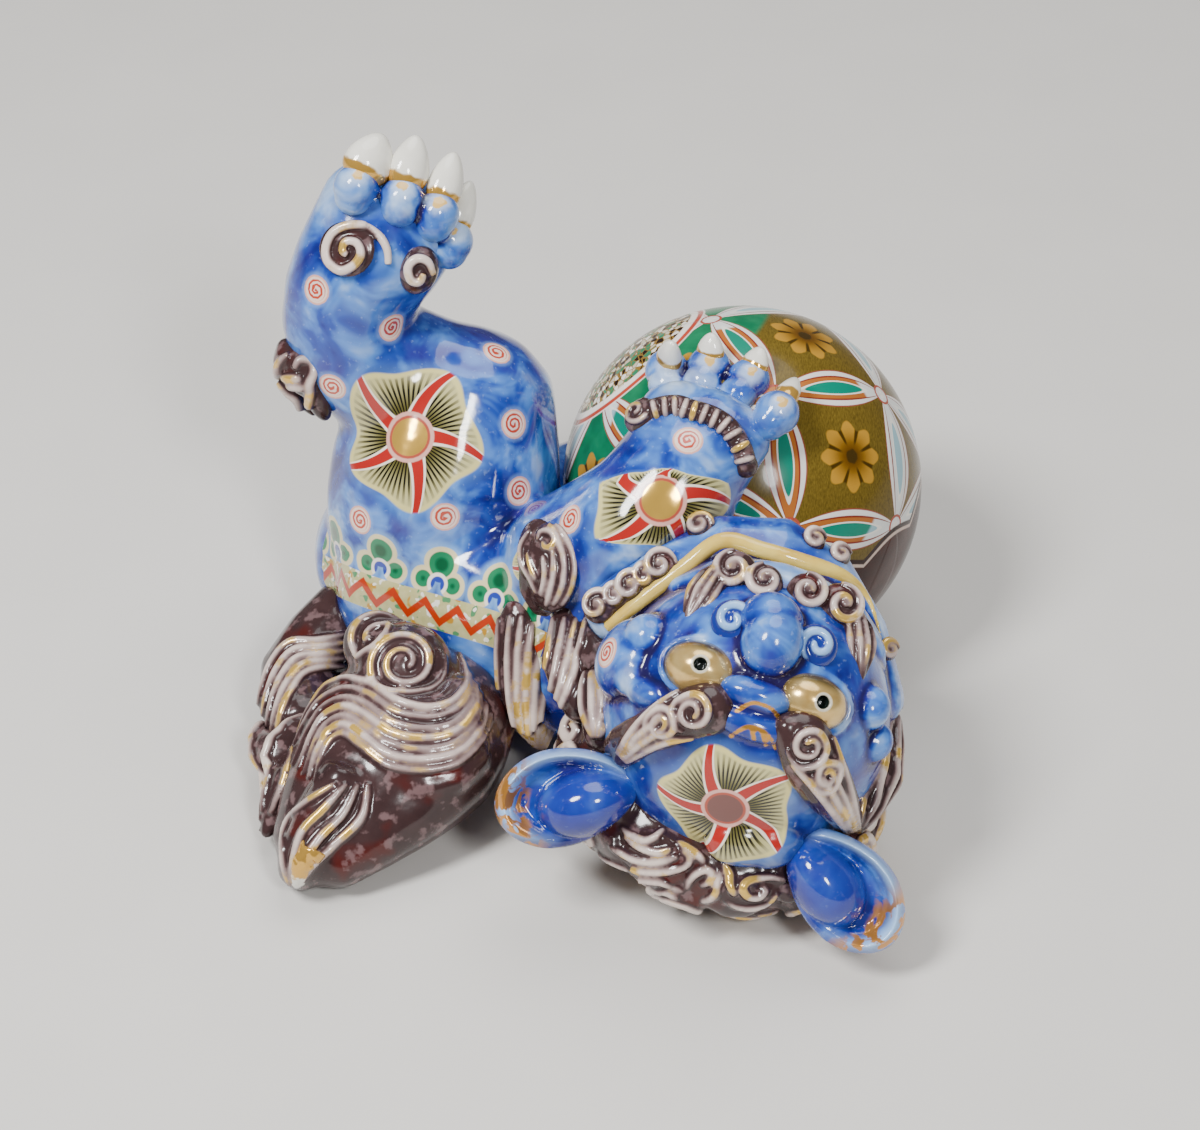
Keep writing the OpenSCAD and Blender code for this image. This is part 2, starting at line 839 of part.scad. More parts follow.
module neck_locks() {
    root = neck + neck_r * [-0.57, -0.95, 0.29];
    color(mauve)
        difference() {
            for (i = [0 : 2])
                form([stop(root + lock_d * [0.6 * i, 0, 0.3 * i], 0.5 * lock_d, 0.5 * lock_d),
                    stop(root + lock_d * [0.7 * i - 0.4, 1, 0.4 * i + 0.4],
                        0.56 * lock_d, 0.5 * lock_d),
                    stop(root + lock_d * [0.8 * i - 0.4, 0.1 * i + 2.2, 0.2 * i + 1.1],
                        0.18 * lock_d, 0.18 * lock_d)],
                    [0, 0, 1], small_sides, 2);
            torso_form();
            head_form();
            mane_form();
            jaw_form();
            left_arm_form();
            elbow_tuft_form();
            cheek_mane_form(true);
        }
}

module left_thigh() {
    color(blue)
        difference() {
            left_thigh_form();
            left_thigh_form(wall, small_sides);
            torso_form();
            ball_form();
        }
}

module left_shank() {
    color(blue)
        difference() {
            left_shank_form();
            left_thigh_form();
        }
}

module left_hind_toes() {
    color(blue)
        difference() {
            toes_form(kick_toes, kick_axis, kick_side);
            left_shank_form();
        }
}

module left_hind_claws() {
    color(cream)
        difference() {
            claws_form(kick_toes, kick_axis, kick_side);
            toes_form(kick_toes, kick_axis, kick_side);
            left_shank_form();
        }
}

module left_hock_tuft() {
    root = hock - [0.98 * shank_r, 0.4 * curl_d, 0];
    color(mauve)
        difference() {
            union() {
                curl(root, curl_d * [0.42, 0.5, 0.5]);
                form([stop(root + curl_d * [0, 0, -0.27], 0.34 * curl_d, 0.34 * curl_d),
                    stop(root + curl_d * [0.08, 0, -0.82], 0.26 * curl_d, 0.26 * curl_d),
                    stop(root + curl_d * [0.34, -0.08, -1.27], 0.1 * curl_d, 0.1 * curl_d)],
                    [0, 1, 0], small_sides, 2);
            }
            left_shank_form();
            left_thigh_form();
        }
}

module left_ankle_curls() {
    ankle = 0.5 * (heel_bend + toe_root);
    color(mauve)
        difference() {
            union() {
                curl(ankle + shank_r * (0.94 * kick_out - 0.32 * kick_side), curl_r * [1, 1, 1]);
                curl(ankle + shank_r * (0.34 * kick_out + 0.98 * kick_side), curl_r * [0.7, 0.9, 0.9]);
            }
            left_shank_form();
            toes_form(kick_toes, kick_axis, kick_side);
        }
}

module right_thigh() {
    color(blue)
        difference() {
            right_thigh_form();
            torso_form();
            left_thigh_form();
            ball_form();
            below();
        }
}

module right_shank() {
    color(blue)
        difference() {
            right_shank_form();
            right_thigh_form();
            torso_form();
            ball_form();
            below();
        }
}

module right_hind_toes() {
    color(blue)
        difference() {
            toes_form(right_hind_toe_root, right_hind_axis, right_hind_across);
            right_thigh_form();
            right_shank_form();
            ball_form();
            below();
        }
}

module right_hind_claws() {
    color(cream)
        difference() {
            claws_form(right_hind_toe_root, right_hind_axis, right_hind_across);
            right_thigh_form();
            toes_form(right_hind_toe_root, right_hind_axis, right_hind_across);
            right_shank_form();
            ball_form();
            below();
        }
}

module left_arm() {
    color(blue)
        difference() {
            left_arm_form();
            torso_form();
            ball_form();
            head_form();
            jaw_form();
            muzzle_form();
        }
}

module left_forearm() {
    color(blue)
        difference() {
            left_forearm_form();
            left_arm_form();
            ball_form();
            head_form();
            jaw_form();
        }
}

module left_fore_toes() {
    color(blue)
        difference() {
            toes_form(fore_toes, paw_axis, paw_side);
            left_forearm_form();
            ball_form();
        }
}

module left_fore_claws() {
    color(cream)
        difference() {
            claws_form(fore_toes, paw_axis, paw_side);
            toes_form(fore_toes, paw_axis, paw_side);
            left_forearm_form();
            ball_form();
        }
}

module elbow_tuft_form() {
    form([stop(arm_root + arm_r * [-0.24, -0.8, 0.04], 0.5 * lock_d, 0.5 * lock_d),
        stop(arm_root + arm_r * [-0.38, -0.68, 0.44], 0.7 * lock_d, 0.6 * lock_d),
        stop(arm_root + arm_r * [-0.6, -0.3, 0.84], 0.26 * lock_d, 0.26 * lock_d)],
        [0, 1, 0], small_sides, 2);
}

module left_elbow_tuft() {
    color(mauve)
        difference() {
            elbow_tuft_form();
            torso_form();
            left_arm_form();
        }
}

module left_wrist_curls() {
    cuff = 0.55 * wrist + 0.45 * left_paw;
    color(mauve)
        difference() {
            for (q = [-70, -35, 0, 35, 70])
                curl(cuff + wrist_r * (1.04 * sin(q) * paw_side + 0.82 * cos(q) * paw_out),
                    curl_d * [0.42, 0.42, 0.42]);
            left_forearm_form();
            left_arm_form();
            toes_form(fore_toes, paw_axis, paw_side);
            ball_form();
        }
}

module right_arm() {
    color(blue)
        difference() {
            right_arm_form();
            torso_form();
            ball_form();
            head_form();
            jaw_form();
            mane_form();
            below();
        }
}

module right_forearm() {
    color(blue)
        difference() {
            right_forearm_form();
            right_arm_form();
            torso_form();
            ball_form();
            head_form();
            jaw_form();
            mane_form();
            below();
        }
}

module right_fore_toes() {
    color(blue)
        difference() {
            toes_form(right_toes, right_axis, right_across);
            right_forearm_form();
            ball_form();
            below();
        }
}

module right_fore_claws() {
    color(cream)
        difference() {
            claws_form(right_toes, right_axis, right_across);
            toes_form(right_toes, right_axis, right_across);
            right_forearm_form();
            ball_form();
            below();
        }
}

module tail_stem() {
    color(mauve)
        difference() {
            tail_stem_form();
            torso_form();
            left_thigh_form();
            plume_form();
            below();
        }
}

module tail_plume() {
    color(mauve)
        difference() {
            union() {
                plume_form();
                plume_ridges();
            }
            difference() {
                plume_form(wall, small_sides);
                torso_form(-wall);
            }
            torso_form();
            translate(flat(plume_c) + [0, 0, -1])
                cylinder(d = vent_d, h = 3 * wall, $fn = 24);
            below();
        }
}

module tail_side_lock() {
    color(mauve)
        difference() {
            union() {
                form([stop(tail_end + tail_r * [0.9, 0, 0], 0.7 * tail_r, 0.7 * tail_r),
                    stop(tail_end + tail_r * [-0.1, -1, -0.1], 0.9 * tail_r, 0.8 * tail_r),
                    stop(tail_end + tail_r * [-0.78, -0.67, -0.2], 0.5 * tail_r, 0.5 * tail_r),
                    stop(tail_end + tail_r * [-1.1, 0, -0.2], 0.16 * tail_r, 0.16 * tail_r)],
                    sides = small_sides);
                form([stop(tail_end + tail_r * [0.67, -1.33, 0], 0.8 * tail_r, 0.8 * tail_r),
                    stop(tail_end + tail_r * [-0.1, -2.1, -0.2], 0.7 * tail_r, 0.7 * tail_r),
                    stop(tail_end + tail_r * [-0.67, -3.1, -0.67], 0.16 * tail_r, 0.16 * tail_r)],
                    sides = small_sides);
            }
            tail_stem_form();
            plume_form();
            plume_ridges();
            below();
        }
}

module tail_curls() {
    color(mauve)
        difference() {
            union() {
                curl(plume_c + plume_r * [-0.38, 0.41, 0.68], 1.24 * curl_r * [1, 1, 0.6]);
                curl(plume_c + plume_r * [-0.07, 0.05, 0.68], 1.75 * curl_r * [1, 1, 0.42]);
            }
            plume_form();
            plume_ridges();
            tail_stem_form();
            torso_form();
        }
}

module tail_tip() {
    color(cream)
        difference() {
            form([stop(plume_spot(0.8, 0.46, 0.15), 0.28 * plume_r, 0.26 * plume_r),
                stop(plume_spot(0.9, 0.53, 0.18), 0.12 * plume_r, 0.12 * plume_r)],
                [0, 0, 1], small_sides, 2);
            plume_form();
            below();
        }
}

ball();
torso();
head();
lower_jaw();
muzzle();
lip_roll();
nose();
nostril_curls();
left_eye();
right_eye();
left_eyebrow();
right_eyebrow();
brow_bridge();
moustache();
beard_curls();
cheek_knobs();
left_ear();
right_ear();
nape_mane();
left_cheek_mane();
right_cheek_mane();
neck_locks();
left_thigh();
left_shank();
left_hind_toes();
left_hind_claws();
left_hock_tuft();
left_ankle_curls();
right_thigh();
right_shank();
right_hind_toes();
right_hind_claws();
left_arm();
left_forearm();
left_fore_toes();
left_fore_claws();
left_elbow_tuft();
left_wrist_curls();
right_arm();
right_forearm();
right_fore_toes();
right_fore_claws();
tail_stem();
tail_plume();
tail_side_lock();
tail_curls();
tail_tip();
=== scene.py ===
import math

import bmesh
import bpy
import numpy as np
from mathutils import Matrix, Vector
from mathutils.bvhtree import BVHTree
from mathutils.kdtree import KDTree


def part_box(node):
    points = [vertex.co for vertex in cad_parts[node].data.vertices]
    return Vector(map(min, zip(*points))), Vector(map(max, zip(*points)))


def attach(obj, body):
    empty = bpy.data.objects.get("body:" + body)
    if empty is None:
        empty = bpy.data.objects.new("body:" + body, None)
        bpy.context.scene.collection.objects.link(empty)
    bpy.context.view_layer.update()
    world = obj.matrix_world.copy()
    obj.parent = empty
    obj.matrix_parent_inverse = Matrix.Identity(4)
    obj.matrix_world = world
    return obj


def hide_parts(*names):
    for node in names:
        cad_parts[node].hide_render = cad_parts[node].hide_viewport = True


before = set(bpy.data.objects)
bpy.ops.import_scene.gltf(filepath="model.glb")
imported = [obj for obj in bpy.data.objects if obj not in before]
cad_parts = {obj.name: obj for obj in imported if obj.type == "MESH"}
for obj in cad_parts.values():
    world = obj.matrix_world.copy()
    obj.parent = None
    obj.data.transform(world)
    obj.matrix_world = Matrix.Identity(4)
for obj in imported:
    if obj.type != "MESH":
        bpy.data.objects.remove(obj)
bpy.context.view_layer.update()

# Studio
# A pale plain floor, two soft window lights and a fill. The camera looks down at the
# lion's back and crown from 40 degrees above the table.
mm = 0.001
view_target = Vector((2.1, 4.5, 41.5)) * mm
view_rise = math.radians(40)
view_distance = 600 * mm
photo_size = (1200, 1130)
focal_pixels = 2760
sensor_width = 36
view_forward = Vector((0, math.cos(view_rise), -math.sin(view_rise)))
view_up = Vector((0, math.sin(view_rise), math.cos(view_rise)))
view_right = Vector((1, 0, 0))
eye_at = view_target - view_distance * view_forward


def link(piece):
    bpy.context.scene.collection.objects.link(piece)
    return piece


camera_data = bpy.data.cameras.new("camera")
camera_data.sensor_width = sensor_width
camera_data.lens = focal_pixels / photo_size[0] * sensor_width
camera_data.clip_start = 0.01
camera = link(bpy.data.objects.new("camera", camera_data))
camera.location = eye_at
camera.rotation_euler = (math.pi / 2 - view_rise, 0, 0)
bpy.context.scene.camera = camera


def colour(code):
    """Linear colour from a six digit sRGB code."""
    parts = [int(code[i:i + 2], 16) / 255 for i in (0, 2, 4)]
    linear = [c / 12.92 if c <= 0.04045 else ((c + 0.055) / 1.055) ** 2.4 for c in parts]
    return (*linear, 1.0)


class Paint:
    """Adds shader nodes to one material or group, one call for each node."""

    def __init__(self, tree):
        self.tree = tree

    def node(self, kind, **settings):
        made = self.tree.nodes.new(kind)
        for key, value in settings.items():
            setattr(made, key, value)
        return made

    def feed(self, socket, value):
        """Links or sets a socket; a six digit code stands for its colour."""
        if isinstance(value, bpy.types.NodeSocket):
            self.tree.links.new(value, socket)
        else:
            socket.default_value = colour(value) if isinstance(value, str) else value

    def fill(self, made, *values):
        for socket, value in zip(made.inputs, values):
            self.feed(socket, value)
        return made.outputs[0]

    def math(self, operation, *values):
        return self.fill(self.node("ShaderNodeMath", operation=operation), *values)

    def plus(self, one, other):
        return self.math("ADD", one, other)

    def minus(self, one, other):
        return self.math("SUBTRACT", one, other)

    def times(self, one, other):
        return self.math("MULTIPLY", one, other)

    def over(self, one, other):
        return self.math("DIVIDE", one, other)

    def vector(self, operation, *values):
        made = self.node("ShaderNodeVectorMath", operation=operation)
        self.fill(made, *values)
        scalar = operation in ("DOT_PRODUCT", "DISTANCE")
        return made.outputs["Value" if scalar else "Vector"]

    def split(self, vector):
        made = self.node("ShaderNodeSeparateXYZ")
        self.feed(made.inputs[0], vector)
        return made.outputs[0], made.outputs[1], made.outputs[2]

    def join(self, *parts):
        return self.fill(self.node("ShaderNodeCombineXYZ"), *parts)

    def step(self, value, low, high, full=1.0):
        """0 below low, full above high, smooth between; low above high turns it round."""
        made = self.node("ShaderNodeMapRange", interpolation_type="SMOOTHSTEP")
        ends = (low, high, 0.0, full) if low < high else (high, low, full, 0.0)
        return self.fill(made, value, *ends)

    def mix(self, factor, below, above):
        made = self.node("ShaderNodeMix", data_type="RGBA")
        for place, item in ((0, factor), (6, below), (7, above)):
            self.feed(made.inputs[place], item)
        return made.outputs[2]

    def coats(self, base, *coats):
        """Lays coats over a base, each a value, the two ends of its mask, a tint and, where it is
        thin, how far it covers."""
        for value, low, high, tint, *cover in coats:
            base = self.mix(self.step(value, low, high, *cover), base, tint)
        return base

    def ramp(self, value, *stops, interpolation="LINEAR"):
        """Colour ramp through stops, each a place and a code."""
        made = self.node("ShaderNodeValToRGB")
        made.color_ramp.interpolation = interpolation
        elements = made.color_ramp.elements
        for element, (place, code) in zip(elements, (stops[0], stops[-1])):
            element.position = place
            element.color = colour(code)
        for place, code in stops[1:-1]:
            elements.new(place).color = colour(code)
        return self.fill(made, value)

    def noise(self, where, scale, detail=2.0, roughness=0.5, distortion=0.0):
        made = self.node("ShaderNodeTexNoise")
        self.feed(made.inputs["Vector"], where)
        for name, item in (("Scale", scale), ("Detail", detail), ("Roughness", roughness),
                           ("Distortion", distortion)):
            self.feed(made.inputs[name], item)
        return made.outputs[0]

    def mottle(self, scale, low, high, detail=2.0):
        """Two colours that run into each other in clouds."""
        return self.mix(self.noise(self.here(), scale, detail), low, high)

    def kept(self, name):
        """The three parts of a vector kept on the vertices."""
        return self.split(self.node("ShaderNodeAttribute", attribute_name=name).outputs["Vector"])

    def kept_value(self, name):
        return self.node("ShaderNodeAttribute", attribute_name=name).outputs["Fac"]

    def here(self):
        return self.node("ShaderNodeTexCoord").outputs["Object"]

    def bump(self, height, distance, strength=1.0):
        made = self.node("ShaderNodeBump")
        made.inputs["Strength"].default_value = strength
        made.inputs["Distance"].default_value = distance
        self.feed(made.inputs["Height"], height)
        return made.outputs[0]

    def ripple(self, shade, scale, height, strength=0.3):
        """Faint waves that the melted glaze keeps."""
        self.feed(shade["Normal"], self.bump(self.noise(self.here(), scale), height, strength))


def glaze(name, roughness=0.12, coat=0.6, level=0.4):
    """New material with a Principled shader under a clear coat of glaze."""
    material = bpy.data.materials.new(name)
    material.use_nodes = True
    shader = material.node_tree.nodes["Principled BSDF"]
    shader.inputs["Roughness"].default_value = roughness
    shader.inputs["Coat Weight"].default_value = coat
    shader.inputs["Coat Roughness"].default_value = 0.04
    shader.inputs["Specular IOR Level"].default_value = level
    return material, Paint(material.node_tree), shader.inputs


def mesh_of(name, form):
    """New mesh from a bmesh, which goes."""
    mesh = bpy.data.meshes.new(name)
    form.to_mesh(mesh)
    form.free()
    return mesh


def object_of(name, form):
    return link(bpy.data.objects.new(name, mesh_of(name, form)))


floor_size = 3.0
floor_form = bmesh.new()
bmesh.ops.create_grid(floor_form, x_segments=1, y_segments=1, size=floor_size)
floor = object_of("floor", floor_form)
floor_glaze, paint, shade = glaze("pale_floor", roughness=0.7, coat=0.0)
paint.feed(shade["Base Color"], paint.mottle(30.0, "d2cfca", "d8d5d0"))
floor.data.materials.append(floor_glaze)

for name, place, size, power in (
        ("window_left", (-0.45, -0.3, 0.8), (0.22, 0.34), 11.0),
        ("window_front", (0.3, -0.7, 0.75), (0.16, 0.26), 6.0),
        ("sky", (0.15, 0.35, 1.0), (0.8, 0.8), 6.0)):
    lamp_data = bpy.data.lights.new(name, "AREA")
    lamp_data.shape = "ELLIPSE"
    lamp_data.size, lamp_data.size_y = size
    lamp_data.energy = power
    lamp = link(bpy.data.objects.new(name, lamp_data))
    lamp.location = place
    lamp.rotation_euler = (view_target - Vector(place)).to_track_quat("-Z", "Y").to_euler()
world = bpy.data.worlds.new("studio")
world.use_nodes = True
sky_light = world.node_tree.nodes["Background"].inputs
sky_light["Color"].default_value = colour("e6e8ec")
sky_light["Strength"].default_value = 0.2
bpy.context.scene.world = world

# Ball
# A hollow cast ball with a ground foot, painted over the glaze with a net of petals
# that meet in round buttons, with a flower in each mesh and a round medallion.
ball_low, ball_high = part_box("ball")
ball_radius = (ball_high.x - ball_low.x) / 2
ball_middle = Vector((ball_low.x + ball_radius, ball_low.y + ball_radius, ball_high.z - ball_radius))
net_turn = [math.radians(a) for a in (-19.3, 2.8, -63.1)]
net_tilt = math.radians(22.5)
half_root = math.sqrt(0.5)
petal_reach = 0.3574
petal_half = 0.088
heart_reach = 0.56
heart_half = 0.44
button_at = (0.8629, 0.3574, 0.3574)
button_size = 0.062
flower_size = 0.185
medallion_way = (-0.658, 0.347, 0.669)
medallion_size = 0.51
check_scale = (5.0, 5.0, 8.0)
ground_end = 0.86
cap_height = 0.1
warm_way = (-0.023, -0.666, 0.745)
warm_end = 0.66
enamel_height = 0.15 * mm
foot_normal = -0.999

ball_form = bmesh.new()
bmesh.ops.create_icosphere(ball_form, subdivisions=6, radius=ball_radius,
                           matrix=Matrix.Translation(ball_middle))
cut = bmesh.ops.bisect_plane(ball_form, geom=ball_form.verts[:] + ball_form.edges[:] + ball_form.faces[:],
                             plane_co=(0, 0, ball_low.z), plane_no=(0, 0, 1), clear_inner=True)
rim = [e for e in cut["geom_cut"] if isinstance(e, bmesh.types.BMEdge)]
bmesh.ops.contextual_create(ball_form, geom=rim)
ball = object_of("ball_glazed", ball_form)
for face in ball.data.polygons:
    face.use_smooth = face.normal.z > foot_normal

ball_glaze, paint, shade = glaze("ball_glaze", roughness=0.2, coat=0.12, level=0.15)
spot = paint.vector("SCALE", paint.vector("SUBTRACT", paint.here(), tuple(ball_middle)))
spot.node.inputs["Scale"].default_value = 1 / ball_radius
turned = paint.node("ShaderNodeVectorRotate", rotation_type="EULER_XYZ", invert=True)
paint.feed(turned.inputs["Vector"], spot)
turned.inputs["Rotation"].default_value = net_turn
folded = paint.vector("ABSOLUTE", turned.outputs[0])
x, y, z = paint.split(folded)
far = paint.math("MAXIMUM", paint.math("MAXIMUM", x, y), z)
near = paint.math("MINIMUM", paint.math("MINIMUM", x, y), z)
middle = paint.minus(paint.minus(paint.plus(paint.plus(x, y), z), far), near)


def petal(across, along):
    """0 on the middle line of a petal and 1 on its edge."""
    length = paint.over(along, petal_reach)
    taper = paint.math("MAXIMUM", paint.minus(1.0, paint.times(length, length)), 0.02)
    return paint.over(paint.math("ABSOLUTE", across), paint.times(taper, petal_half)), length


tilt_cos, tilt_sin = math.cos(net_tilt), math.sin(net_tilt)
side_one = paint.minus(paint.times(middle, tilt_cos), paint.times(far, tilt_sin))
white_petal, white_length = petal(side_one, near)
edge_on = paint.times(paint.plus(far, middle), half_root)
side_two = paint.minus(paint.times(near, tilt_cos), paint.times(edge_on, tilt_sin))
along_two = paint.times(paint.minus(far, middle), half_root)
rust_petal, rust_length = petal(side_two, along_two)

to_face = paint.math("ARCCOSINE", paint.math("MINIMUM", far, 1.0))
to_edge = paint.math("ARCCOSINE", paint.math("MINIMUM", edge_on, 1.0))
face_turn = paint.math("ARCTAN2", near, middle)
edge_turn = paint.math("ARCTAN2", near, along_two)
nearer_edge = paint.math("LESS_THAN", to_edge, to_face)
flower_way = paint.node("ShaderNodeMix", data_type="FLOAT")
for place, item in ((0, nearer_edge), (2, face_turn), (3, edge_turn)):
    paint.feed(flower_way.inputs[place], item)
flower_far = paint.over(paint.math("MINIMUM", to_face, to_edge), flower_size)
lobes = paint.math("COSINE", paint.times(flower_way.outputs[0], 8.0))
flower_edge = paint.minus(flower_far, paint.times(lobes, 0.12))
hatch = paint.noise(paint.vector("MULTIPLY", spot, (160.0, 40.0, 60.0)), 1.0, 3.0)

medallion_far = paint.math("ARCCOSINE", paint.vector("DOT_PRODUCT", spot, medallion_way))
green = paint.mix(paint.noise(spot, 9.0), "064a2c", "1f8458")
blossom = paint.mix(paint.step(flower_far, 0.2, 0.95), "5a3a08", "ad8028")
gaps = paint.times(paint.step(lobes, -0.55, -0.95), paint.step(flower_far, 0.3, 0.5))
blossom = paint.coats(paint.mix(gaps, blossom, "3d2c08"), (flower_far, 0.26, 0.2, "3a2a0c"))
tint = paint.coats(paint.mix(hatch, "33260a", "7d6826"),
                   (medallion_far, ground_end + 0.02, ground_end - 0.02, green),
                   (flower_edge, 0.97, 0.9, blossom))
warm = paint.step(paint.vector("DOT_PRODUCT", spot, warm_way), warm_end - 0.01, warm_end + 0.01)
petal_body = paint.mix(warm, "d5d6d2", "a4602a")
petal_heart = paint.mix(warm, "8fb3bd", "0f7a63")
for petal_edge, petal_length in ((rust_petal, rust_length), (white_petal, white_length)):
    lengthwise = paint.over(petal_length, heart_reach)
    crosswise = paint.over(petal_edge, heart_half)
    heart = paint.plus(paint.times(lengthwise, lengthwise), paint.times(crosswise, crosswise))
    inside = paint.coats(petal_body, (heart, 1.45, 1.35, "e4e0d6"), (heart, 1.0, 0.9, petal_heart),
                         (petal_edge, 0.74, 0.8, "7a2c1e"), (petal_edge, 0.86, 0.92, "dcd8d2"),
                         (petal_edge, 1.22, 1.26, "8a4636"))
    tint = paint.coats(tint, (petal_edge, 1.36, 1.3, inside))
sorted_spot = paint.join(far, middle, near)
button_far = paint.over(paint.vector("DISTANCE", sorted_spot, button_at), button_size)
button = paint.coats(paint.mix(warm, "d9d6d2", "b5713a"), (button_far, 0.4, 0.34, "e6ded4"),
                     (button_far, 0.72, 0.78, "a24a38"))
check_spot = paint.vector("MULTIPLY", spot, check_scale)
seams = paint.node("ShaderNodeTexVoronoi", feature="DISTANCE_TO_EDGE")
cells = paint.node("ShaderNodeTexVoronoi")
for checks in (seams, cells):
    paint.feed(checks.inputs["Vector"], check_spot)
cell_tint = paint.ramp(paint.split(cells.outputs["Color"])[0], (0.0, "c9bfa6"), (0.2, "22120c"),
                       (0.55, "e7e2d6"), (0.78, "2f7a56"), (1.0, "ffffff"), interpolation="CONSTANT")
medallion = paint.mix(paint.step(seams.outputs["Distance"], 0.05, 0.09), "8a6a2e", cell_tint)
for inward, code in ((0.09, "efe6dc"), (0.05, "b0402e"), (0.02, "efe6dc")):
    ring = medallion_size - inward
    medallion = paint.coats(medallion, (medallion_far, ring, ring + 0.01, code))
east, north, height = paint.split(spot)
turn = paint.times(paint.math("ARCTAN2", north, east), 7.0)
scallop = paint.minus(height, paint.times(paint.math("ABSOLUTE", paint.math("SINE", turn)), 0.07))
cap = paint.mix(paint.noise(spot, 6.0), "180806", "4a1c12")
for inward, code in ((0.05, "c9b2a4"), (0.03, "2a130e")):
    ring = cap_height - inward
    cap = paint.coats(cap, (scallop, ring, ring + 0.01, code))
tint = paint.coats(tint, (button_far, 1.02, 0.96, button),
                   (medallion_far, medallion_size, medallion_size - 0.012, medallion),
                   (scallop, cap_height + 0.01, cap_height, cap))
paint.feed(shade["Base Color"], tint)
enamel = paint.step(paint.math("MINIMUM", white_petal, rust_petal), 1.3, 0.9)
paint.feed(shade["Normal"], paint.bump(enamel, enamel_height, 0.5))


def finish_piece(piece, material, slot, *nodes):
    """Gives a piece its material and its body, and hides the CAD nodes that it stands for. The slot is not
    used.
    """
    piece.data.materials.append(material)
    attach(piece, "root")
    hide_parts(*nodes)


finish_piece(ball, ball_glaze, "ball_glaze", "ball")

# Trunk and legs
# Slip-cast trunk and limbs luted together with slip, so the glaze runs over the seams. Mottled
# cobalt glaze, with dots, star rosettes and a cloud border painted over it and fired again.
def add_solids(form, *nodes):
    """Adds copies of CAD nodes to a bmesh, each with its doubled corners merged."""
    for node in nodes:
        known = len(form.verts)
        form.from_mesh(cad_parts[node].data)
        form.verts.ensure_lookup_table()
        bmesh.ops.remove_doubles(form, verts=form.verts[known:], dist=0.001 * mm)


def positions(mesh):
    points = np.empty(3 * len(mesh.vertices))
    mesh.vertices.foreach_get("co", points)
    return points.reshape(-1, 3)


def normals(mesh):
    ways = np.empty(3 * len(mesh.vertices))
    mesh.vertex_normals.foreach_get("vector", ways)
    return ways.reshape(-1, 3)


def note_hollows(mesh, grain):
    """Stores how hollow (above 0) or sharply rounded (below 0) the skin is at each vertex."""
    points = positions(mesh)
    ends = np.empty(2 * len(mesh.edges), dtype=np.int64)
    mesh.edges.foreach_get("vertices", ends)
    one, two = ends.reshape(-1, 2).T
    total = len(points)
    count = np.maximum(np.bincount(ends, minlength=total), 1)

    def around(values):
        return (np.bincount(one, values[two], total) + np.bincount(two, values[one], total)) / count

    pull = np.stack([around(points[:, k]) - points[:, k] for k in range(3)], axis=1)
    bend = (pull * normals(mesh)).sum(axis=1) * 20 * mm / grain ** 2
    for _ in range(14):
        bend = 0.5 * bend + 0.5 * around(bend)
    store = mesh.attributes.new("hollow", "FLOAT", "POINT")
    store.data.foreach_set("value", np.clip(bend, -1.5, 1.5).astype(np.float32))


def skin(name, form, grain, passes, swell=0.0):
    """Runs the shapes of a bmesh together into one smooth closed skin standing on the table."""
    piece = object_of(name, form)
    melt = piece.modifiers.new("melt", "REMESH")
    melt.mode = "VOXEL"
    melt.voxel_size = grain
    soften = piece.modifiers.new("soften", "SMOOTH")
    soften.factor = 0.5
    soften.iterations = passes
    fatten = piece.modifiers.new("fatten", "DISPLACE")
    fatten.mid_level = 0.0
    fatten.strength = swell
    done = bpy.data.meshes.new_from_object(piece.evaluated_get(bpy.context.evaluated_depsgraph_get()))
    piece.modifiers.clear()
    piece.data = done
    points = positions(done)
    points[:, 2] = np.maximum(points[:, 2], 0)
    done.vertices.foreach_set("co", points.ravel())
    done.shade_smooth()
    done.update()
    note_hollows(done, grain)
    return piece


def through_pixel(across, down):
    """Direction from the camera through a pixel of the 1200 by 1130 picture."""
    right = (across - photo_size[0] / 2) / focal_pixels
    up = (photo_size[1] / 2 - down) / focal_pixels
    return (view_forward + right * view_right + up * view_up).normalized()


def struck(piece, pixel, under=None):
    """Where the line of sight through a pixel meets a piece, or what lies under it, and the way out."""
    sight = through_pixel(*pixel)
    hit, at, out, _ = piece.ray_cast(eye_at, sight)
    if not hit and under:
        return struck(under, pixel)
    if not hit:
        _, at, out, _ = piece.closest_point_on_mesh(eye_at + (view_target - eye_at).length * sight)
    return at, out


def traced(piece, pixels, taper=0.4, lift=0.0, under=None):
    """Path over a piece under a row of pixels, rounded between them."""
    spots = [Vector((*p, 0)) for p in pixels]
    path = []
    steps = 8 * (len(spots) - 1)
    for k in range(steps + 1):
        part = k / steps * (len(spots) - 1)
        i = min(int(part), len(spots) - 2)
        before, start = spots[max(i - 1, 0)], spots[i]
        end, after = spots[i + 1], spots[min(i + 2, len(spots) - 1)]
        f = part - i
        at = 0.5 * (2 * start + (end - before) * f + (2 * before - 5 * start + 4 * end - after) * f ** 2
                    + (3 * start - before - 3 * end + after) * f ** 3)
        spot, out = struck(piece, (at.x, at.y), under)
        path.append((spot + lift * out, 1 - taper * abs(2 * k / steps - 1) ** 3))
    return path


def keep(piece, name, values):
    """Stores one vector for each vertex as a named attribute."""
    store = piece.data.attributes.new(name, "FLOAT_VECTOR", "POINT")
    store.data.foreach_set("vector", values.astype(np.float32).ravel())


unmarked = 9.0


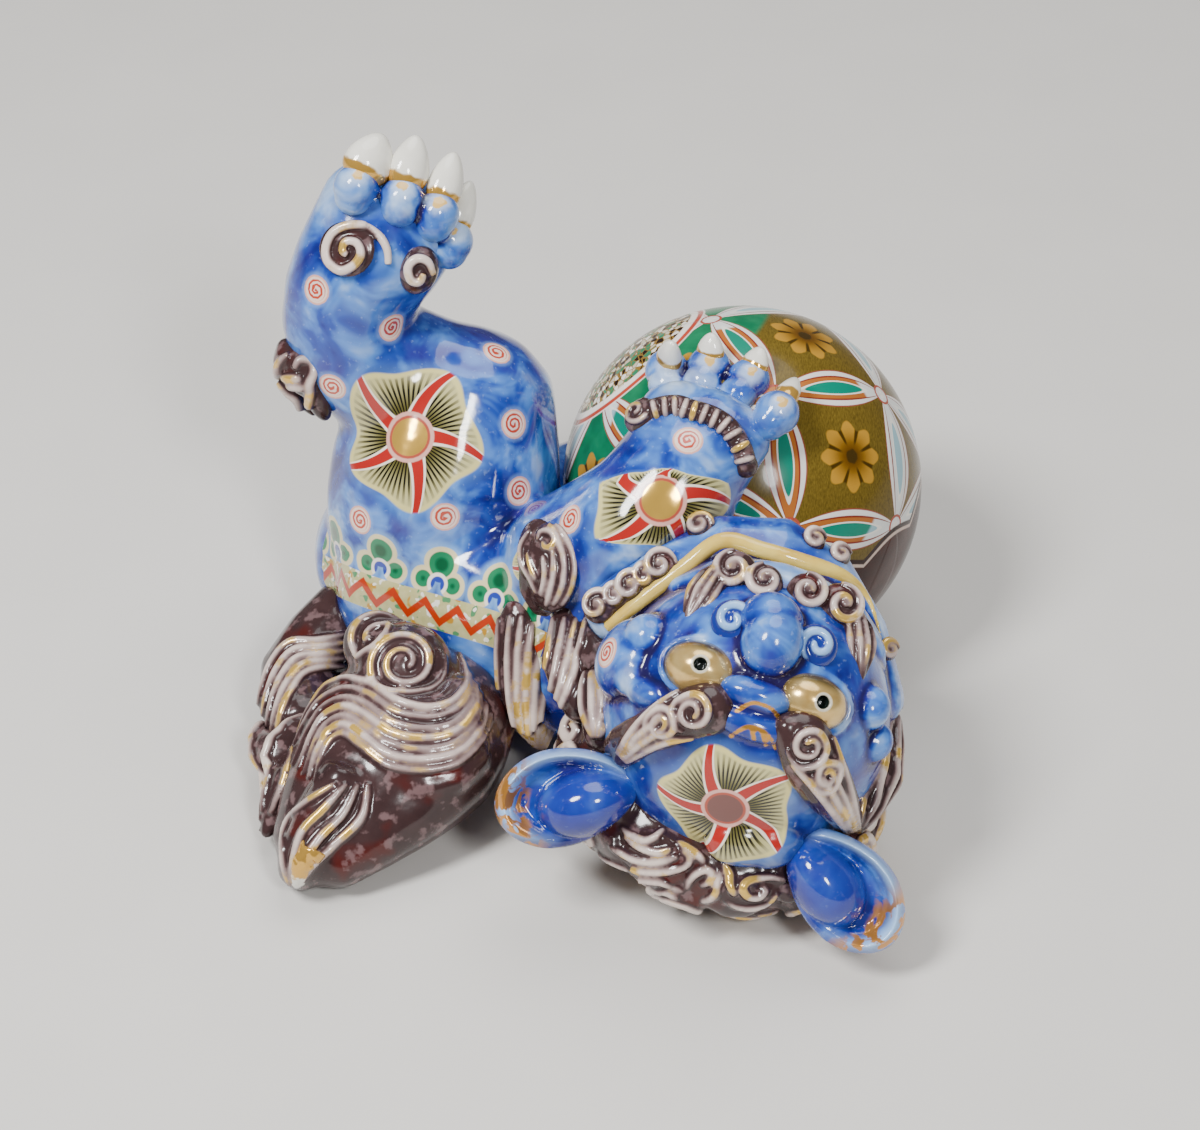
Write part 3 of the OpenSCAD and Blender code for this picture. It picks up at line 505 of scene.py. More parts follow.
def mark(piece, name, marks):
    """Stores how far each vertex is from its nearest painted mark, in mark sizes, and which way.
    A mark is left out above and below its crop, but for its middle."""
    points = positions(piece.data)
    ways = normals(piece.data)
    nearest = np.full((len(points), 3), unmarked)
    for at, out, size, turn, crop in marks:
        across = view_up.cross(out).normalized()
        up = out.cross(across)
        gap = (points - np.array(at)) / size
        flat = np.stack((gap @ np.array(across), gap @ np.array(up)), axis=1)
        far = np.linalg.norm(gap, axis=1)
        beyond = np.maximum(0, flat[:, 1] - crop[1]) + np.maximum(0, crop[0] - flat[:, 1])
        far += 4 * beyond * np.clip((far - 0.32) / 0.1, 0, 1)
        far += 6 * np.maximum(0, 0.25 - ways @ np.array(out))
        here = far < nearest[:, 2]
        c, s = math.cos(turn), math.sin(turn)
        flat = flat @ np.array(((c, s), (-s, c)))
        nearest[here] = np.column_stack((flat, far))[here]
    keep(piece, name, nearest)


body_grain = 1.2 * mm
body_passes = 26
body_swell = 0.75 * mm
body_nodes = ("torso", "left_thigh", "left_shank", "left_arm", "left_forearm",
              "right_thigh", "right_shank", "right_arm", "right_forearm")
body_form = bmesh.new()
add_solids(body_form, *body_nodes)
body = skin("trunk_and_legs", body_form, body_grain, body_passes, body_swell)

dot_size = 3.3 * mm
dot_pixels = ((392, 327), (497, 352), (514, 424), (519, 491), (445, 517), (360, 520), (316, 290),
              (688, 440), (570, 519), (470, 690), (332, 387))
dots = [struck(body, pixel) for pixel in dot_pixels]
# Dots on the side away from the camera: node, and shares of its width and height.
far_dots = (("left_thigh", 0.3, 0.3), ("left_thigh", 0.75, 0.55), ("left_thigh", 0.35, 0.85),
            ("left_shank", 0.5, 0.45), ("left_shank", 0.4, 0.8),
            ("right_thigh", 0.25, 0.6), ("right_thigh", 0.7, 0.75), ("right_shank", 0.5, 0.6))
for node, across, up in far_dots:
    low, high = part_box(node)
    beside = Vector((low.x + across * (high.x - low.x), high.y, low.z + up * (high.z - low.z)))
    dots.append(body.closest_point_on_mesh(beside)[1:3])
whole = (-unmarked, unmarked)
mark(body, "dot", [(*hit, dot_size, 0.0, whole) for hit in dots])


def mark_stars(piece, *stars):
    """Marks stars given as pixel, size, turn in degrees and crop."""
    mark(piece, "star", [(*struck(piece, pixel), size, math.radians(turn), crop)
                         for pixel, size, turn, crop in stars])


thigh_star = (409, 437), 16.8 * mm, -10, whole
arm_star = (661, 500), 16.5 * mm, 48, (-0.5, 0.24)
flank_star = (540, 560), 8.6 * mm, 0, whole
mark_stars(body, thigh_star, arm_star, flank_star)

border_pixels = ((322, 570), (352, 586), (385, 598), (440, 614), (500, 632), (545, 652))
border_path = [at for at, _ in traced(body, border_pixels)]
border_cut = 25 * mm
unpainted = 90.0
body_points = positions(body.data)
border = np.full((len(body_points), 3), unpainted)
nearest = np.full(len(body_points), 1.0)
run = 0.0
for start, end in zip(border_path, border_path[1:]):
    length = (end - start).length
    along = (end - start).normalized()
    across = np.array(body.closest_point_on_mesh(start)[2].cross(along).normalized())
    gap = body_points - np.array(start)
    part = np.clip(gap @ np.array(along), 0.0, length)
    away = gap - part[:, None] * np.array(along)
    far = np.linalg.norm(away, axis=1)
    closer = far < nearest
    side = np.sign(away @ across) * far
    border[closer] = np.column_stack(((run + part) / mm, side / mm, far / mm))[closer]
    nearest[closer] = far[closer]
    run += length
for last, inner in ((border_path[0], border_path[1]), (border_path[-1], border_path[-2])):
    gap = body_points - np.array(last)
    past = (gap @ np.array((last - inner).normalized()) > 0) & (np.linalg.norm(gap, axis=1) < border_cut)
    border[past, 1] = np.copysign(unpainted, border[past, 1])
    border[past, 2] = unpainted
keep(body, "border", border)


def cobalt(paint):
    """Mottled blue: deep and violet where the glaze pools, sky blue where it runs thin."""
    here = paint.here()
    hollow = paint.kept_value("hollow")
    pools = paint.noise(here, 85.0, 3.0, 0.55, 0.6)
    pools = paint.minus(pools, paint.times(paint.math("MAXIMUM", hollow, -0.7), 0.2))
    blue = paint.ramp(pools, (0.28, "0a0f48"), (0.41, "121d78"), (0.53, "2043a0"), (0.66, "4f84d0"),
                      (0.88, "bdd8f2"))
    return paint.coats(blue, (paint.noise(here, 120.0), 0.5, 0.75, "352a86", 0.55),
                       (hollow, 0.18, 0.8, "1e1236", 0.75),
                       (paint.noise(here, 900.0), 0.6, 0.8, "a9c4f0", 0.25))


def rosette(paint, base, centre):
    """Star rosette: five curved red arms on fine radial strokes, round a button of gold."""
    across, up, far = paint.kept("star")
    turn = paint.math("ARCTAN2", up, across)
    bent = paint.plus(turn, paint.times(far, 0.45))
    wave = paint.math("COSINE", paint.times(bent, 5.0))
    edge = paint.plus(paint.times(wave, 0.08), 0.9)
    rim = paint.over(far, edge)
    strokes = paint.math("SINE", paint.plus(paint.times(turn, 62.0), paint.times(far, 5.0)))
    ground = paint.mix(paint.step(far, 0.35, 0.8), "544f22", "c4bc84")
    ink = paint.times(paint.step(strokes, -0.3, 0.5), paint.step(far, 0.98, 0.55))
    swing = paint.over(paint.math("ARCCOSINE", wave), 5.0)
    side = paint.times(swing, far)
    half = paint.minus(0.105, paint.times(far, 0.065))
    arm = paint.over(side, half)
    ground = paint.coats(paint.mix(ink, ground, "0d0b06"), (rim, 0.9, 0.95, "d6cb88"),
                         (arm, 1.55, 1.35, "efe3d2"), (arm, 1.05, 0.9, "a8241f"),
                         (far, 0.34, 0.32, "dba497"), (far, 0.29, 0.27, "a84a38"))
    gold = paint.step(far, 0.25, 0.235)
    ground = paint.mix(gold, ground, centre)
    return paint.coats(base, (rim, 1.25, 1.0, "6fa6e6", 0.25), (rim, 1.02, 0.98, ground)), gold


def dotted(paint, base):
    """Dots: pale pink discs with a red spiral, in a thin pale halo."""
    across, up, far = paint.kept("dot")
    turn = paint.over(paint.math("ARCTAN2", up, across), 2 * math.pi)
    coil = paint.math("FRACT", paint.plus(paint.times(far, 3.4), turn))
    off_line = paint.math("ABSOLUTE", paint.minus(coil, 0.5))
    line = paint.times(paint.step(off_line, 0.32, 0.2), paint.step(far, 0.78, 0.66))
    disc = paint.coats(paint.mix(line, "ecd2c6", "b8402c"), (far, 0.16, 0.1, "b03826"),
                       (far, 0.82, 0.9, "d98a74", 0.7))
    return paint.coats(base, (far, 1.35, 1.0, "86b0ea", 0.35), (far, 1.02, 0.94, disc))


blue_glaze, paint, shade = glaze("painted_blue_glaze")
base = cobalt(paint)
along, across, border_far = paint.kept("border")
wave = paint.minus(paint.math("PINGPONG", along, 4.0), 2.0)
zigzag = paint.math("ABSOLUTE", paint.minus(across, wave))
stripe = paint.mottle(500.0, "a5a564", "cfc496")
for scale, low, high, code in ((420.0, 0.58, 0.64, "4f8a5c"), (300.0, 0.62, 0.67, "b98a2e"),
                               (560.0, 0.6, 0.65, "efeadc")):
    stripe = paint.coats(stripe, (paint.noise(paint.here(), scale, 1.0), low, high, code))
stripe = paint.coats(stripe, (zigzag, 1.3, 0.9, "b03312"))
cloud = paint.join(paint.math("PINGPONG", paint.plus(along, 4.0), 7.0), across)
top_lobe, side_lobe, drop = (
    paint.minus(paint.vector("DISTANCE", cloud, (*lobe_at, 0.0)), lobe_size)
    for lobe_at, lobe_size in (((0.0, 10.5), 3.6), ((3.6, 6.6), 2.6), ((0.0, 6.2), 1.7)))
puff = paint.math("MINIMUM", top_lobe, side_lobe)
clouds = paint.coats("ddcfa0", (puff, -0.6, -0.9, "1c7a50"), (puff, -1.6, -2.6, "08502f"),
                     (drop, 0.9, 0.6, "efe9dc"), (drop, 0.1, -0.2, "2b3f9e"))
near_border = paint.step(border_far, 17.0, 16.0)
base = paint.mix(paint.times(paint.step(puff, 2.2, 0.4, 0.6), near_border), base, "86b6ea")
base = paint.mix(paint.times(paint.step(puff, 0.5, 0.2), near_border), base, clouds)
base = paint.coats(base, (border_far, 4.1, 3.9, stripe))
base, gold = rosette(paint, base, "e4b650")
base = dotted(paint, base)
paint.feed(shade["Base Color"], base)
paint.feed(shade["Metallic"], paint.times(gold, 0.6))
paint.ripple(shade, 140.0, 0.5 * mm, 0.35)
finish_piece(body, blue_glaze, "blue_glaze", *body_nodes)

# Head
# Cast skull with the jaw, muzzle, nose ball, cheek knobs and bridge rolls pressed on and
# smoothed over. The same cobalt glaze, with one star rosette on the forehead.
head_at = Vector((31.8, -38, 36)) * mm
skull_size = Vector((30, 33, 29)) * mm
head_turn = (Matrix.Rotation(math.radians(12), 4, "Y") @ Matrix.Rotation(math.radians(95), 4, "X")
             @ Matrix.Rotation(math.radians(-13), 4, "Y"))
head_place = Matrix.Translation(head_at) @ head_turn
eye_size = 8.0 * mm
eye_shape = (1.0, 0.74, 1.0, 1.0)
eye_pixels = {"left_eye": (701, 668), "right_eye": (815, 702)}
eye_sink = 3.4 * mm
eye_lean = 0.25
pupil_lean = {"left_eye": 0.3, "right_eye": 0.0}
lid_size, lid_gap, lid_rise = 0.8 * mm, 0.2 * mm, 2.2 * mm
skull_grain, face_grain = 0.9 * mm, 0.6 * mm
glaze_swell = 0.1 * mm
# Pads of clay: pixel, half sizes across, up and out, and how deep each is sunk, in mm.
face_pads = (((772, 642), 6.2, 7.6, 7.2, 0.3), ((771, 622), 6.6, 6.2, 7.2, 1.0),
             ((755, 695), 7.2, 3.4, 4.2, 0.4), ((751, 724), 8.0, 3.2, 3.6, 0.4),
             ((645, 636), 4.9, 4.9, 4.6, 0.6), ((628, 676), 5.2, 4.0, 4.0, 1.0),
             ((622, 656), 10.0, 9.0, 7.0, 2.5), ((873, 708), 4.2, 4.6, 4.2, 0.8),
             ((877, 742), 3.6, 4.2, 4.0, 0.8), ((640, 690), 6.0, 3.0, 2.6, 0.8),
             ((744, 844), 8.0, 6.0, 4.6, 0.4), ((770, 846), 7.0, 6.0, 4.6, 0.4))


def on_head(across, out, up):
    """Point given in millimetres across, out of the muzzle and up to the crown."""
    return head_place @ (Vector((across, out, up)) * mm)


def way_on_head(across, out, up):
    return (head_turn.to_3x3() @ Vector((across, out, up))).normalized()


def facing(at, out, up):
    """Place with its Z along out and its Y near up."""
    z = out.normalized()
    x = up.cross(z).normalized()
    y = z.cross(x)
    turn = Matrix((x, y, z)).transposed().to_4x4()
    return Matrix.Translation(at) @ turn


def add_ball(form, place, sizes, detail=4):
    bmesh.ops.create_icosphere(form, subdivisions=detail, radius=1.0,
                               matrix=place @ Matrix.Diagonal((*sizes, 1.0)))


def add_ring(form, place, radius, tube):
    """Round ring about the Z of its place."""
    upright = Matrix.Translation((radius, 0, 0)) @ Matrix.Rotation(math.pi / 2, 4, "X")
    made = bmesh.ops.create_circle(form, segments=16, radius=tube, matrix=upright)
    edges = list({e for v in made["verts"] for e in v.link_edges})
    known = set(form.verts) - set(made["verts"])
    bmesh.ops.spin(form, geom=made["verts"] + edges, cent=(0, 0, 0), axis=(0, 0, 1), angle=2 * math.pi,
                   steps=40, use_merge=True)
    ring = [v for v in form.verts if v not in known]
    faces = list({f for v in ring for f in v.link_faces})
    bmesh.ops.transform(form, matrix=place, verts=ring)
    bmesh.ops.recalc_face_normals(form, faces=faces)


crown = way_on_head(0, 0, 1)
head_across = way_on_head(1, 0, 0)
head_nodes = ("head", "muzzle", "lower_jaw", "nose", "cheek_knobs", "brow_bridge")
skull_form = bmesh.new()
bmesh.ops.create_uvsphere(skull_form, u_segments=64, v_segments=40, radius=1.0,
                          matrix=head_place @ Matrix.Diagonal((*skull_size, 1.0)))
add_solids(skull_form, "muzzle", "lower_jaw")
head_form = skull_form.copy()
skull = skin("skull", skull_form, skull_grain, 6)

eye_places = {}
for name, pixel in eye_pixels.items():
    at, out = struck(skull, pixel)
    out = (out - eye_lean * view_forward + pupil_lean[name] * view_right).normalized()
    eye_place = facing(at - eye_sink * out, out, out.cross(head_across)) @ Matrix.Diagonal(eye_shape)
    add_ring(head_form, eye_place @ Matrix.Translation((0, 0, lid_rise)), eye_size + lid_gap, lid_size)
    eye_places[name] = eye_place
for pixel, wide, tall, deep, sink in face_pads:
    at, out = struck(skull, pixel)
    pad_place = facing(at - sink * mm * out, out, out.cross(head_across))
    add_ball(head_form, pad_place, (wide * mm, tall * mm, deep * mm))
head = skin("head_glazed", head_form, face_grain, 4, glaze_swell)
bpy.data.objects.remove(skull)

forehead_star = (725, 809), 14.9 * mm, 22, whole
mark_stars(head, forehead_star)
cheek_dot_pixel = (606, 652)
mark(head, "dot", [(*struck(head, cheek_dot_pixel), dot_size, 0.0, whole)])

gilt_lines = (((737, 711), (752, 703), (770, 708), (780, 719)),
              ((731, 736), (748, 727), (765, 733), (776, 748)),
              ((752, 729), (754, 740)), ((762, 731), (766, 745)))
gilt_width = 0.5 * mm
head_points = positions(head.data)
gilt_far = np.full(len(head_points), unmarked)
for pixels in gilt_lines:
    for at, _ in traced(head, pixels):
        gilt_far = np.minimum(gilt_far, np.linalg.norm(head_points - np.array(at), axis=1) / gilt_width)
keep(head, "gilt", np.column_stack((gilt_far, gilt_far, gilt_far)))
face_glaze, paint, shade = glaze("face_blue_glaze", roughness=0.16, coat=0.4)
star_far = paint.kept("star")[2]
base, _ = rosette(paint, paint.coats(cobalt(paint), (star_far, 2.0, 1.2, "14207e", 0.6)), "6e443e")
gilt = paint.step(paint.kept("gilt")[0], 1.2, 0.7)
paint.feed(shade["Base Color"], paint.mix(gilt, dotted(paint, base), "c98f3a"))
paint.feed(shade["Metallic"], paint.times(gilt, 0.6))
paint.ripple(shade, 140.0, 0.4 * mm, 0.25)
finish_piece(head, face_glaze, "blue_glaze", *head_nodes)

# Eyes
# Bulging domes pressed into the sockets inside rolled lids, each with the pupil pierced
# through before firing, and gilded over the glaze.
pupil_size = 1.4 * mm
pupil_depth = 3.0 * mm
gold_glaze, paint, shade = glaze("gold_lustre", roughness=0.2, coat=0.5)
across, up, far = paint.kept("pupil")
lustre = paint.mottle(300.0, "b8862c", "f6da94", 3.0)
# Darker olive towards the rim of the dome, and painted shade over the dome's upper part.
olive_rim_and_painted_shade = paint.plus(paint.step(far, 3.6, 6.0), paint.step(up, 0.35, 0.8))
lustre = paint.mix(paint.math("MINIMUM", olive_rim_and_painted_shade, 0.8), lustre, "4a4020")
# A pale ring round the pupil, and near-black painted shade inside the pierced hole.
lustre = paint.coats(lustre, (far, 1.45, 1.25, "c9c2ae"), (far, 1.05, 0.9, "101a16"))
paint.feed(shade["Base Color"], lustre)
paint.feed(shade["Metallic"], paint.step(far, 1.3, 1.5, 0.6))
paint.ripple(shade, 260.0, 0.3 * mm)
for name, place in eye_places.items():
    eye_form = bmesh.new()
    bmesh.ops.create_icosphere(eye_form, subdivisions=6, radius=eye_size)
    for vert in eye_form.verts:
        off = math.hypot(vert.co.x, vert.co.y * eye_shape[1])
        if vert.co.z > 0 and off < pupil_size:
            vert.co.z -= pupil_depth * min(1.0, 2.2 * (1 - off / pupil_size))
    eye = object_of(name + "_glazed", eye_form)
    local = positions(eye.data)
    away = np.hypot(local[:, 0], local[:, 1] * eye_shape[1]) / pupil_size
    away[local[:, 2] < 0] = unmarked
    keep(eye, "pupil", np.column_stack((local[:, 0] / eye_size, local[:, 1] / eye_size, away)))
    eye.data.transform(place)
    eye.data.shade_smooth()
    finish_piece(eye, gold_glaze, "gold_lustre", name)

# Nostrils and lip
# Two rolled volutes luted to the sides of the nose, glazed thin so that they fire sky blue, and
# a yellow roll laid along the mouth.
def strands(paths, thickness):
    """Mesh of round tapered cords along paths of points and relative radii."""
    curve = bpy.data.curves.new("cords", "CURVE")
    curve.dimensions = "3D"
    curve.bevel_depth = thickness
    curve.bevel_resolution = 3
    curve.use_fill_caps = True
    for path in paths:
        line = curve.splines.new("POLY")
        line.points.add(len(path) - 1)
        for point, (at, fat) in zip(line.points, path):
            point.co = (*at, 1.0)
            point.radius = fat
    cord = link(bpy.data.objects.new("cords", curve))
    mesh = bpy.data.meshes.new_from_object(cord.evaluated_get(bpy.context.evaluated_depsgraph_get()))
    bpy.data.objects.remove(cord)
    mesh.shade_smooth()
    return mesh


def coil(place, radius, turns, hand, start=0.0, dome=0.0, inner=0.15):
    """Path of a snail coil about the Z of its place, from the rim to the middle, over a dome."""
    taper = 0.7
    path = []
    steps = int(26 * turns)
    for k in range(steps + 1):
        part = k / steps
        turn = start + hand * 2 * math.pi * turns * part
        off = radius * (1 - (1 - inner) * part)
        rise = dome * math.sqrt(max(0.0, 1 - (0.82 * off / radius) ** 2))
        at = place @ Vector((off * math.cos(turn), off * math.sin(turn), rise))
        path.append((at, min(1.0, 0.45 + 3 * part) * (1 - (1 - taper) * part)))
    return path


def relief(name, core, paths, thickness, grain):
    """Melts cords into the core that carries them. Stores how high the skin stands over the core,
    the number of the nearest cord and how far along that cord it is."""
    form = bmesh.new()
    form.from_mesh(core)
    tree = BVHTree.FromBMesh(form)
    form.from_mesh(strands(paths, thickness))
    piece = skin(name, form, grain, 2)
    knots = KDTree(sum(len(path) for path in paths))
    known = []
    for number, path in enumerate(paths):
        run = 0.0
        for k, (at, _) in enumerate(path):
            run += (at - path[max(k - 1, 0)][0]).length / mm
            knots.insert(at, len(known))
            known.append((number, run, 0.0))
    knots.balance()
    high = []
    nearest = []
    for vert in piece.data.vertices:
        spot, out, _, _ = tree.find_nearest(vert.co)
        high.append((vert.co - spot).dot(out) / thickness)
        nearest.append(known[knots.find(vert.co)[1]])
    store = piece.data.attributes.new("rise", "FLOAT", "POINT")
    store.data.foreach_set("value", np.array(high, dtype=np.float32))
    keep(piece, "strand", np.array(nearest))
    return piece


thin_blue, paint, shade = glaze("thin_blue_glaze")
sky = paint.mottle(250.0, "5a92d8", "a9cdf0")
paint.feed(shade["Base Color"], paint.coats("1c2f86", (paint.kept_value("rise"), 0.15, 0.6, sky)))
paint.ripple(shade, 200.0, 0.3 * mm)


def seat(piece, pixel, lean=1.0):
    """Place on a piece under a pixel, leaning from the skin's way out to the camera."""
    at, out = struck(piece, pixel)
    return facing(at, out - lean * view_forward, view_up)


# Pixel, hand and turn at the start.
volute_pixels = (((733, 621), 1, -0.5), ((816, 646), -1, math.pi + 0.9))
volute_size, volute_cord = 3.6 * mm, 1.1 * mm
volute_round, volute_dome = 1.25 * volute_size, 0.5 * volute_size
curl_grain = 0.3 * mm
volutes = []
volute_form = bmesh.new()
for pixel, hand, start in volute_pixels:
    place = seat(head, pixel)
    add_ball(volute_form, place, (volute_round, volute_round, volute_dome))
    volutes.append(coil(place, volute_size, 1.25, hand, start, dome=volute_dome, inner=0.2))
volute_core = mesh_of("volute_core", volute_form)
nostrils = relief("nostrils_glazed", volute_core, volutes, volute_cord, curl_grain)
finish_piece(nostrils, thin_blue, "blue_glaze", "nostril_curls")

yellow_glaze, paint, shade = glaze("yellow_glaze")
paint.feed(shade["Base Color"], paint.mottle(160.0, "bf8f22", "f0d874", 3.0))
paint.ripple(shade, 200.0, 0.3 * mm)
lip_pixels = ((607, 628), (640, 601), (682, 569), (722, 541), (762, 550), (803, 562), (845, 577),
              (868, 600), (882, 640))
lip_size, lip_grain = 1.9 * mm, 0.5 * mm
lip_path = traced(head, lip_pixels, taper=0.3)
lip_parts = [k / (len(lip_path) - 1) for k in range(len(lip_path))]
lip_path = [(at, fat * min(1.0, 0.2 + 2.4 * (1 - part))) for part, (at, fat) in zip(lip_parts, lip_path)]
lip_form = bmesh.new()
lip_form.from_mesh(strands([lip_path], lip_size))
lip = skin("lip_glazed", lip_form, lip_grain, 3)
finish_piece(lip, yellow_glaze, "lip_glaze", "lip_roll")

# Curled hair of the face
# Brows, moustache and beard are rows of snail curls rolled from cords of clay. Brown glaze
# pools in the grooves, the ridges fire pale pink, and gold is brushed over the tops.
hair_glaze, paint, shade = glaze("hair_glaze_fired", roughness=0.2, coat=0.35, level=0.3)
here = paint.here()
brown = paint.coats(paint.mottle(130.0, "1a0d0e", "4a3434", 4.0),
                    (paint.noise(here, 80.0), 0.58, 0.7, "4a1814"),
                    (paint.noise(here, 300.0, 3.0), 0.54, 0.66, "84696a", 0.55))
rise = paint.kept_value("rise")
rise = paint.plus(rise, paint.times(paint.minus(paint.noise(here, 170.0, 3.0), 0.5), 0.4))
pale = paint.ramp(rise, (0.15, "241415"), (0.45, "4d3838"), (0.7, "96817d"), (1.0, "dccabf"))
hair = paint.coats(brown, (rise, 0.08, 0.3, pale))
cord_number, cord_run, _ = paint.kept("strand")
stretch = paint.join(paint.times(cord_number, 3.7), paint.times(cord_run, 0.12))
brushed = paint.plus(paint.noise(stretch, 1.0, 1.0),
                     paint.times(paint.minus(paint.noise(here, 300.0, 2.0), 0.5), 0.25))
gilt = paint.times(paint.step(brushed, 0.52, 0.6), paint.step(rise, 0.5, 0.8))
paint.feed(shade["Base Color"], paint.mix(gilt, hair, "e2b858"))
paint.feed(shade["Metallic"], paint.times(gilt, 0.5))
paint.ripple(shade, 260.0, 0.3 * mm)


def curls(name, rows, *nodes, leaves=()):
    """Snail curls given as place, radius, turns, hand and start, on low domes with a bead inside.
    Leaves are pointed flames given as place, half length, half width and veins."""
    def slim_at(y):
        return 1 - 0.75 * max(0.0, y) ** 1.5

    form = bmesh.new()
    cords = []
    size = rows[0][1]
    for place, radius, turns, hand, start in rows:
        dome = radius * 0.62
        add_ball(form, place, (radius * 0.9, radius * 0.9, dome), 3)
        cords.append(coil(place, radius * 0.82, turns, hand, start, dome=dome))
        bead = place @ Vector((0, 0, radius * 0.45))
        cords.append([(bead, 1.1), (bead + place.to_3x3() @ Vector((0, 0, radius * 0.3)), 0.6)])
    for place, half_length, half_width, veins in leaves:
        known = len(form.verts)
        bmesh.ops.create_icosphere(form, subdivisions=3, radius=1.0)
        form.verts.ensure_lookup_table()
        for vert in form.verts[known:]:
            x, y, z = vert.co
            slim = half_width * slim_at(y)
            vert.co = place @ Vector((x * slim, y * half_length, z * 0.6 * slim))
        for k in range(veins):
            aside = (2 * k + 1) / veins - 1
            vein = []
            for j in range(13):
                y = 0.95 * (j / 6 - 1)
                slim = half_width * slim_at(y)
                x = aside * math.sqrt(1 - y * y)
                rise = 0.66 * math.sqrt(max(0.0, 1 - y * y - aside * aside))
                spot = Vector((x * slim, y * half_length, rise * slim))
                vein.append((place @ spot, 0.7 - 0.3 * abs(y)))
            cords.append(vein)
    piece = relief(name, mesh_of(name, form), cords, size * 0.24, curl_grain)
    finish_piece(piece, hair_glaze, "hair_glaze", *nodes)


face_curl_turns = 1.35
# Pixel, radius in mm and hand.
moustache_pixels = (((735, 572), 5.0, 1), ((764, 583), 4.4, 1), ((806, 593), 4.6, -1), ((839, 606), 5.2, -1))
leaf_pixels = (((724, 568), (684, 622)), ((853, 610), (862, 680)))
leaf_width, leaf_veins = 3.6 * mm, 4
leaves = []
for root_pixel, point_pixel in leaf_pixels:
    (root, out), (point, _) = struck(head, root_pixel), struck(head, point_pixel)
    run = point - root
    place = facing(root.lerp(point, 0.5), out - 0.5 * view_forward, run.normalized())
    leaves.append((place, run.length * 0.53, leaf_width, leaf_veins))
curls("moustache_curls", [(seat(head, pixel), size * mm, face_curl_turns, hand, math.pi / 2)
                          for pixel, size, hand in moustache_pixels], "moustache", leaves=leaves)

beard_pixels = (((600, 606), 4.2), ((616, 596), 3.4), ((631, 586), 4.0), ((646, 576), 3.4),
                ((660, 566), 4.2), ((701, 528), 3.4), ((813, 541), 3.0), ((839, 556), 2.8),
                ((887, 650), 2.6))
curls("beard_glazed", [(seat(head, pixel), size * mm, face_curl_turns, 1, 0.0)
                       for pixel, size in beard_pixels], "beard_curls")


def lay(piece, path, lift=0.0):
    """Moves a path onto the skin of a piece."""
    laid = []
    for at, fat in path:
        _, spot, out, _ = piece.closest_point_on_mesh(at)
        laid.append((spot + lift * out, fat))
    return laid


def hair_on(core, name, cords, thickness, grain, *nodes):
    """Piece of hair from cords melted into the skin of a core, which goes."""
    piece = relief(name, core.data, cords, thickness, grain)
    bpy.data.objects.remove(core)
    finish_piece(piece, hair_glaze, "hair_glaze", *nodes)
    return piece


brow_pixels = {"left_eyebrow": ((708, 708), (687, 714), (663, 724), (641, 739), (622, 757)),
               "right_eyebrow": ((801, 734), (812, 750), (826, 774), (841, 803), (853, 830))}
brow_hand = {"left_eyebrow": -1, "right_eyebrow": 1}
brow_cord = 1.0 * mm
brow_size = 5.6 * mm
brow_grain = 0.5 * mm
curl_lift = 0.1 * mm
brow_curls = ((0.75, 4.9 * mm), (2.05, 4.2 * mm))
for name, pixels in brow_pixels.items():
    ridge = traced(head, pixels, 0.0)
    ridge = [(at, 1 - 0.55 * (k / (len(ridge) - 1)) ** 2) for k, (at, _) in enumerate(ridge)]
    brow_form = bmesh.new()
    add_solids(brow_form, name)
    brow_form.from_mesh(strands([ridge], brow_size))
    add_ball(brow_form, Matrix.Translation(ridge[0][0]), (brow_size,) * 3)
    brow = skin(name + "_core", brow_form, brow_grain, 4)
    cords = []
    for part, size in brow_curls:
        i = int(part)
        pixel = Vector(pixels[i]).lerp(Vector(pixels[i + 1]), part - i)
        at, out = struck(brow, pixel)
        cords.append(lay(brow, coil(facing(at, out, crown), size, 1.9, brow_hand[name], 1.0), curl_lift))
    for k in (0, 1.4, 2.6, 4):
        combing = []
        for i, (before, pixel) in enumerate(zip(pixels, pixels[1:])):
            aside = Vector((pixel[1] - before[1], before[0] - pixel[0])).normalized()
            spot = Vector(pixel) + aside * (k - 2) * (12 - 3 * i)
            combing.append((spot.x, spot.y))
        cords.append(traced(brow, combing if k in (0, 4) else combing[1:], 0.3))
    hair_on(brow, name + "_glazed", cords, brow_cord, curl_grain, name)

# Ears
# Spoon-shaped ears pinched from a leaf of clay: a rolled rim that fires pale, a bulging lobe in
# deep blue, and gold brushed from the tip.
ear_length, ear_width, ear_thick = 30 * mm, 21 * mm, 9.5 * mm
ear_root = Vector((16.4, -6.3, 19.9))
ear_run = Vector((0.857, -0.31, 0.41))
ear_look = Vector((0, 0.69, 0.73))
ear_glaze, paint, shade = glaze("ear_glaze")
rim_part, along_part, lobe_part = paint.kept("ear")
base = paint.mix(paint.times(lobe_part, 0.7), cobalt(paint), "1f2f96")
base = paint.mix(paint.times(rim_part, 0.85), base, "a9cdf0")
streaks = paint.noise(paint.here(), 230.0, 2.0, 0.5, 1.5)
brushed = paint.times(paint.step(along_part, 0.3, 0.7), paint.step(streaks, 0.45, 0.53))
paint.feed(shade["Base Color"], paint.mix(brushed, base, "c98a3c"))
paint.feed(shade["Metallic"], paint.times(brushed, 0.6))
paint.ripple(shade, 160.0, 0.4 * mm)
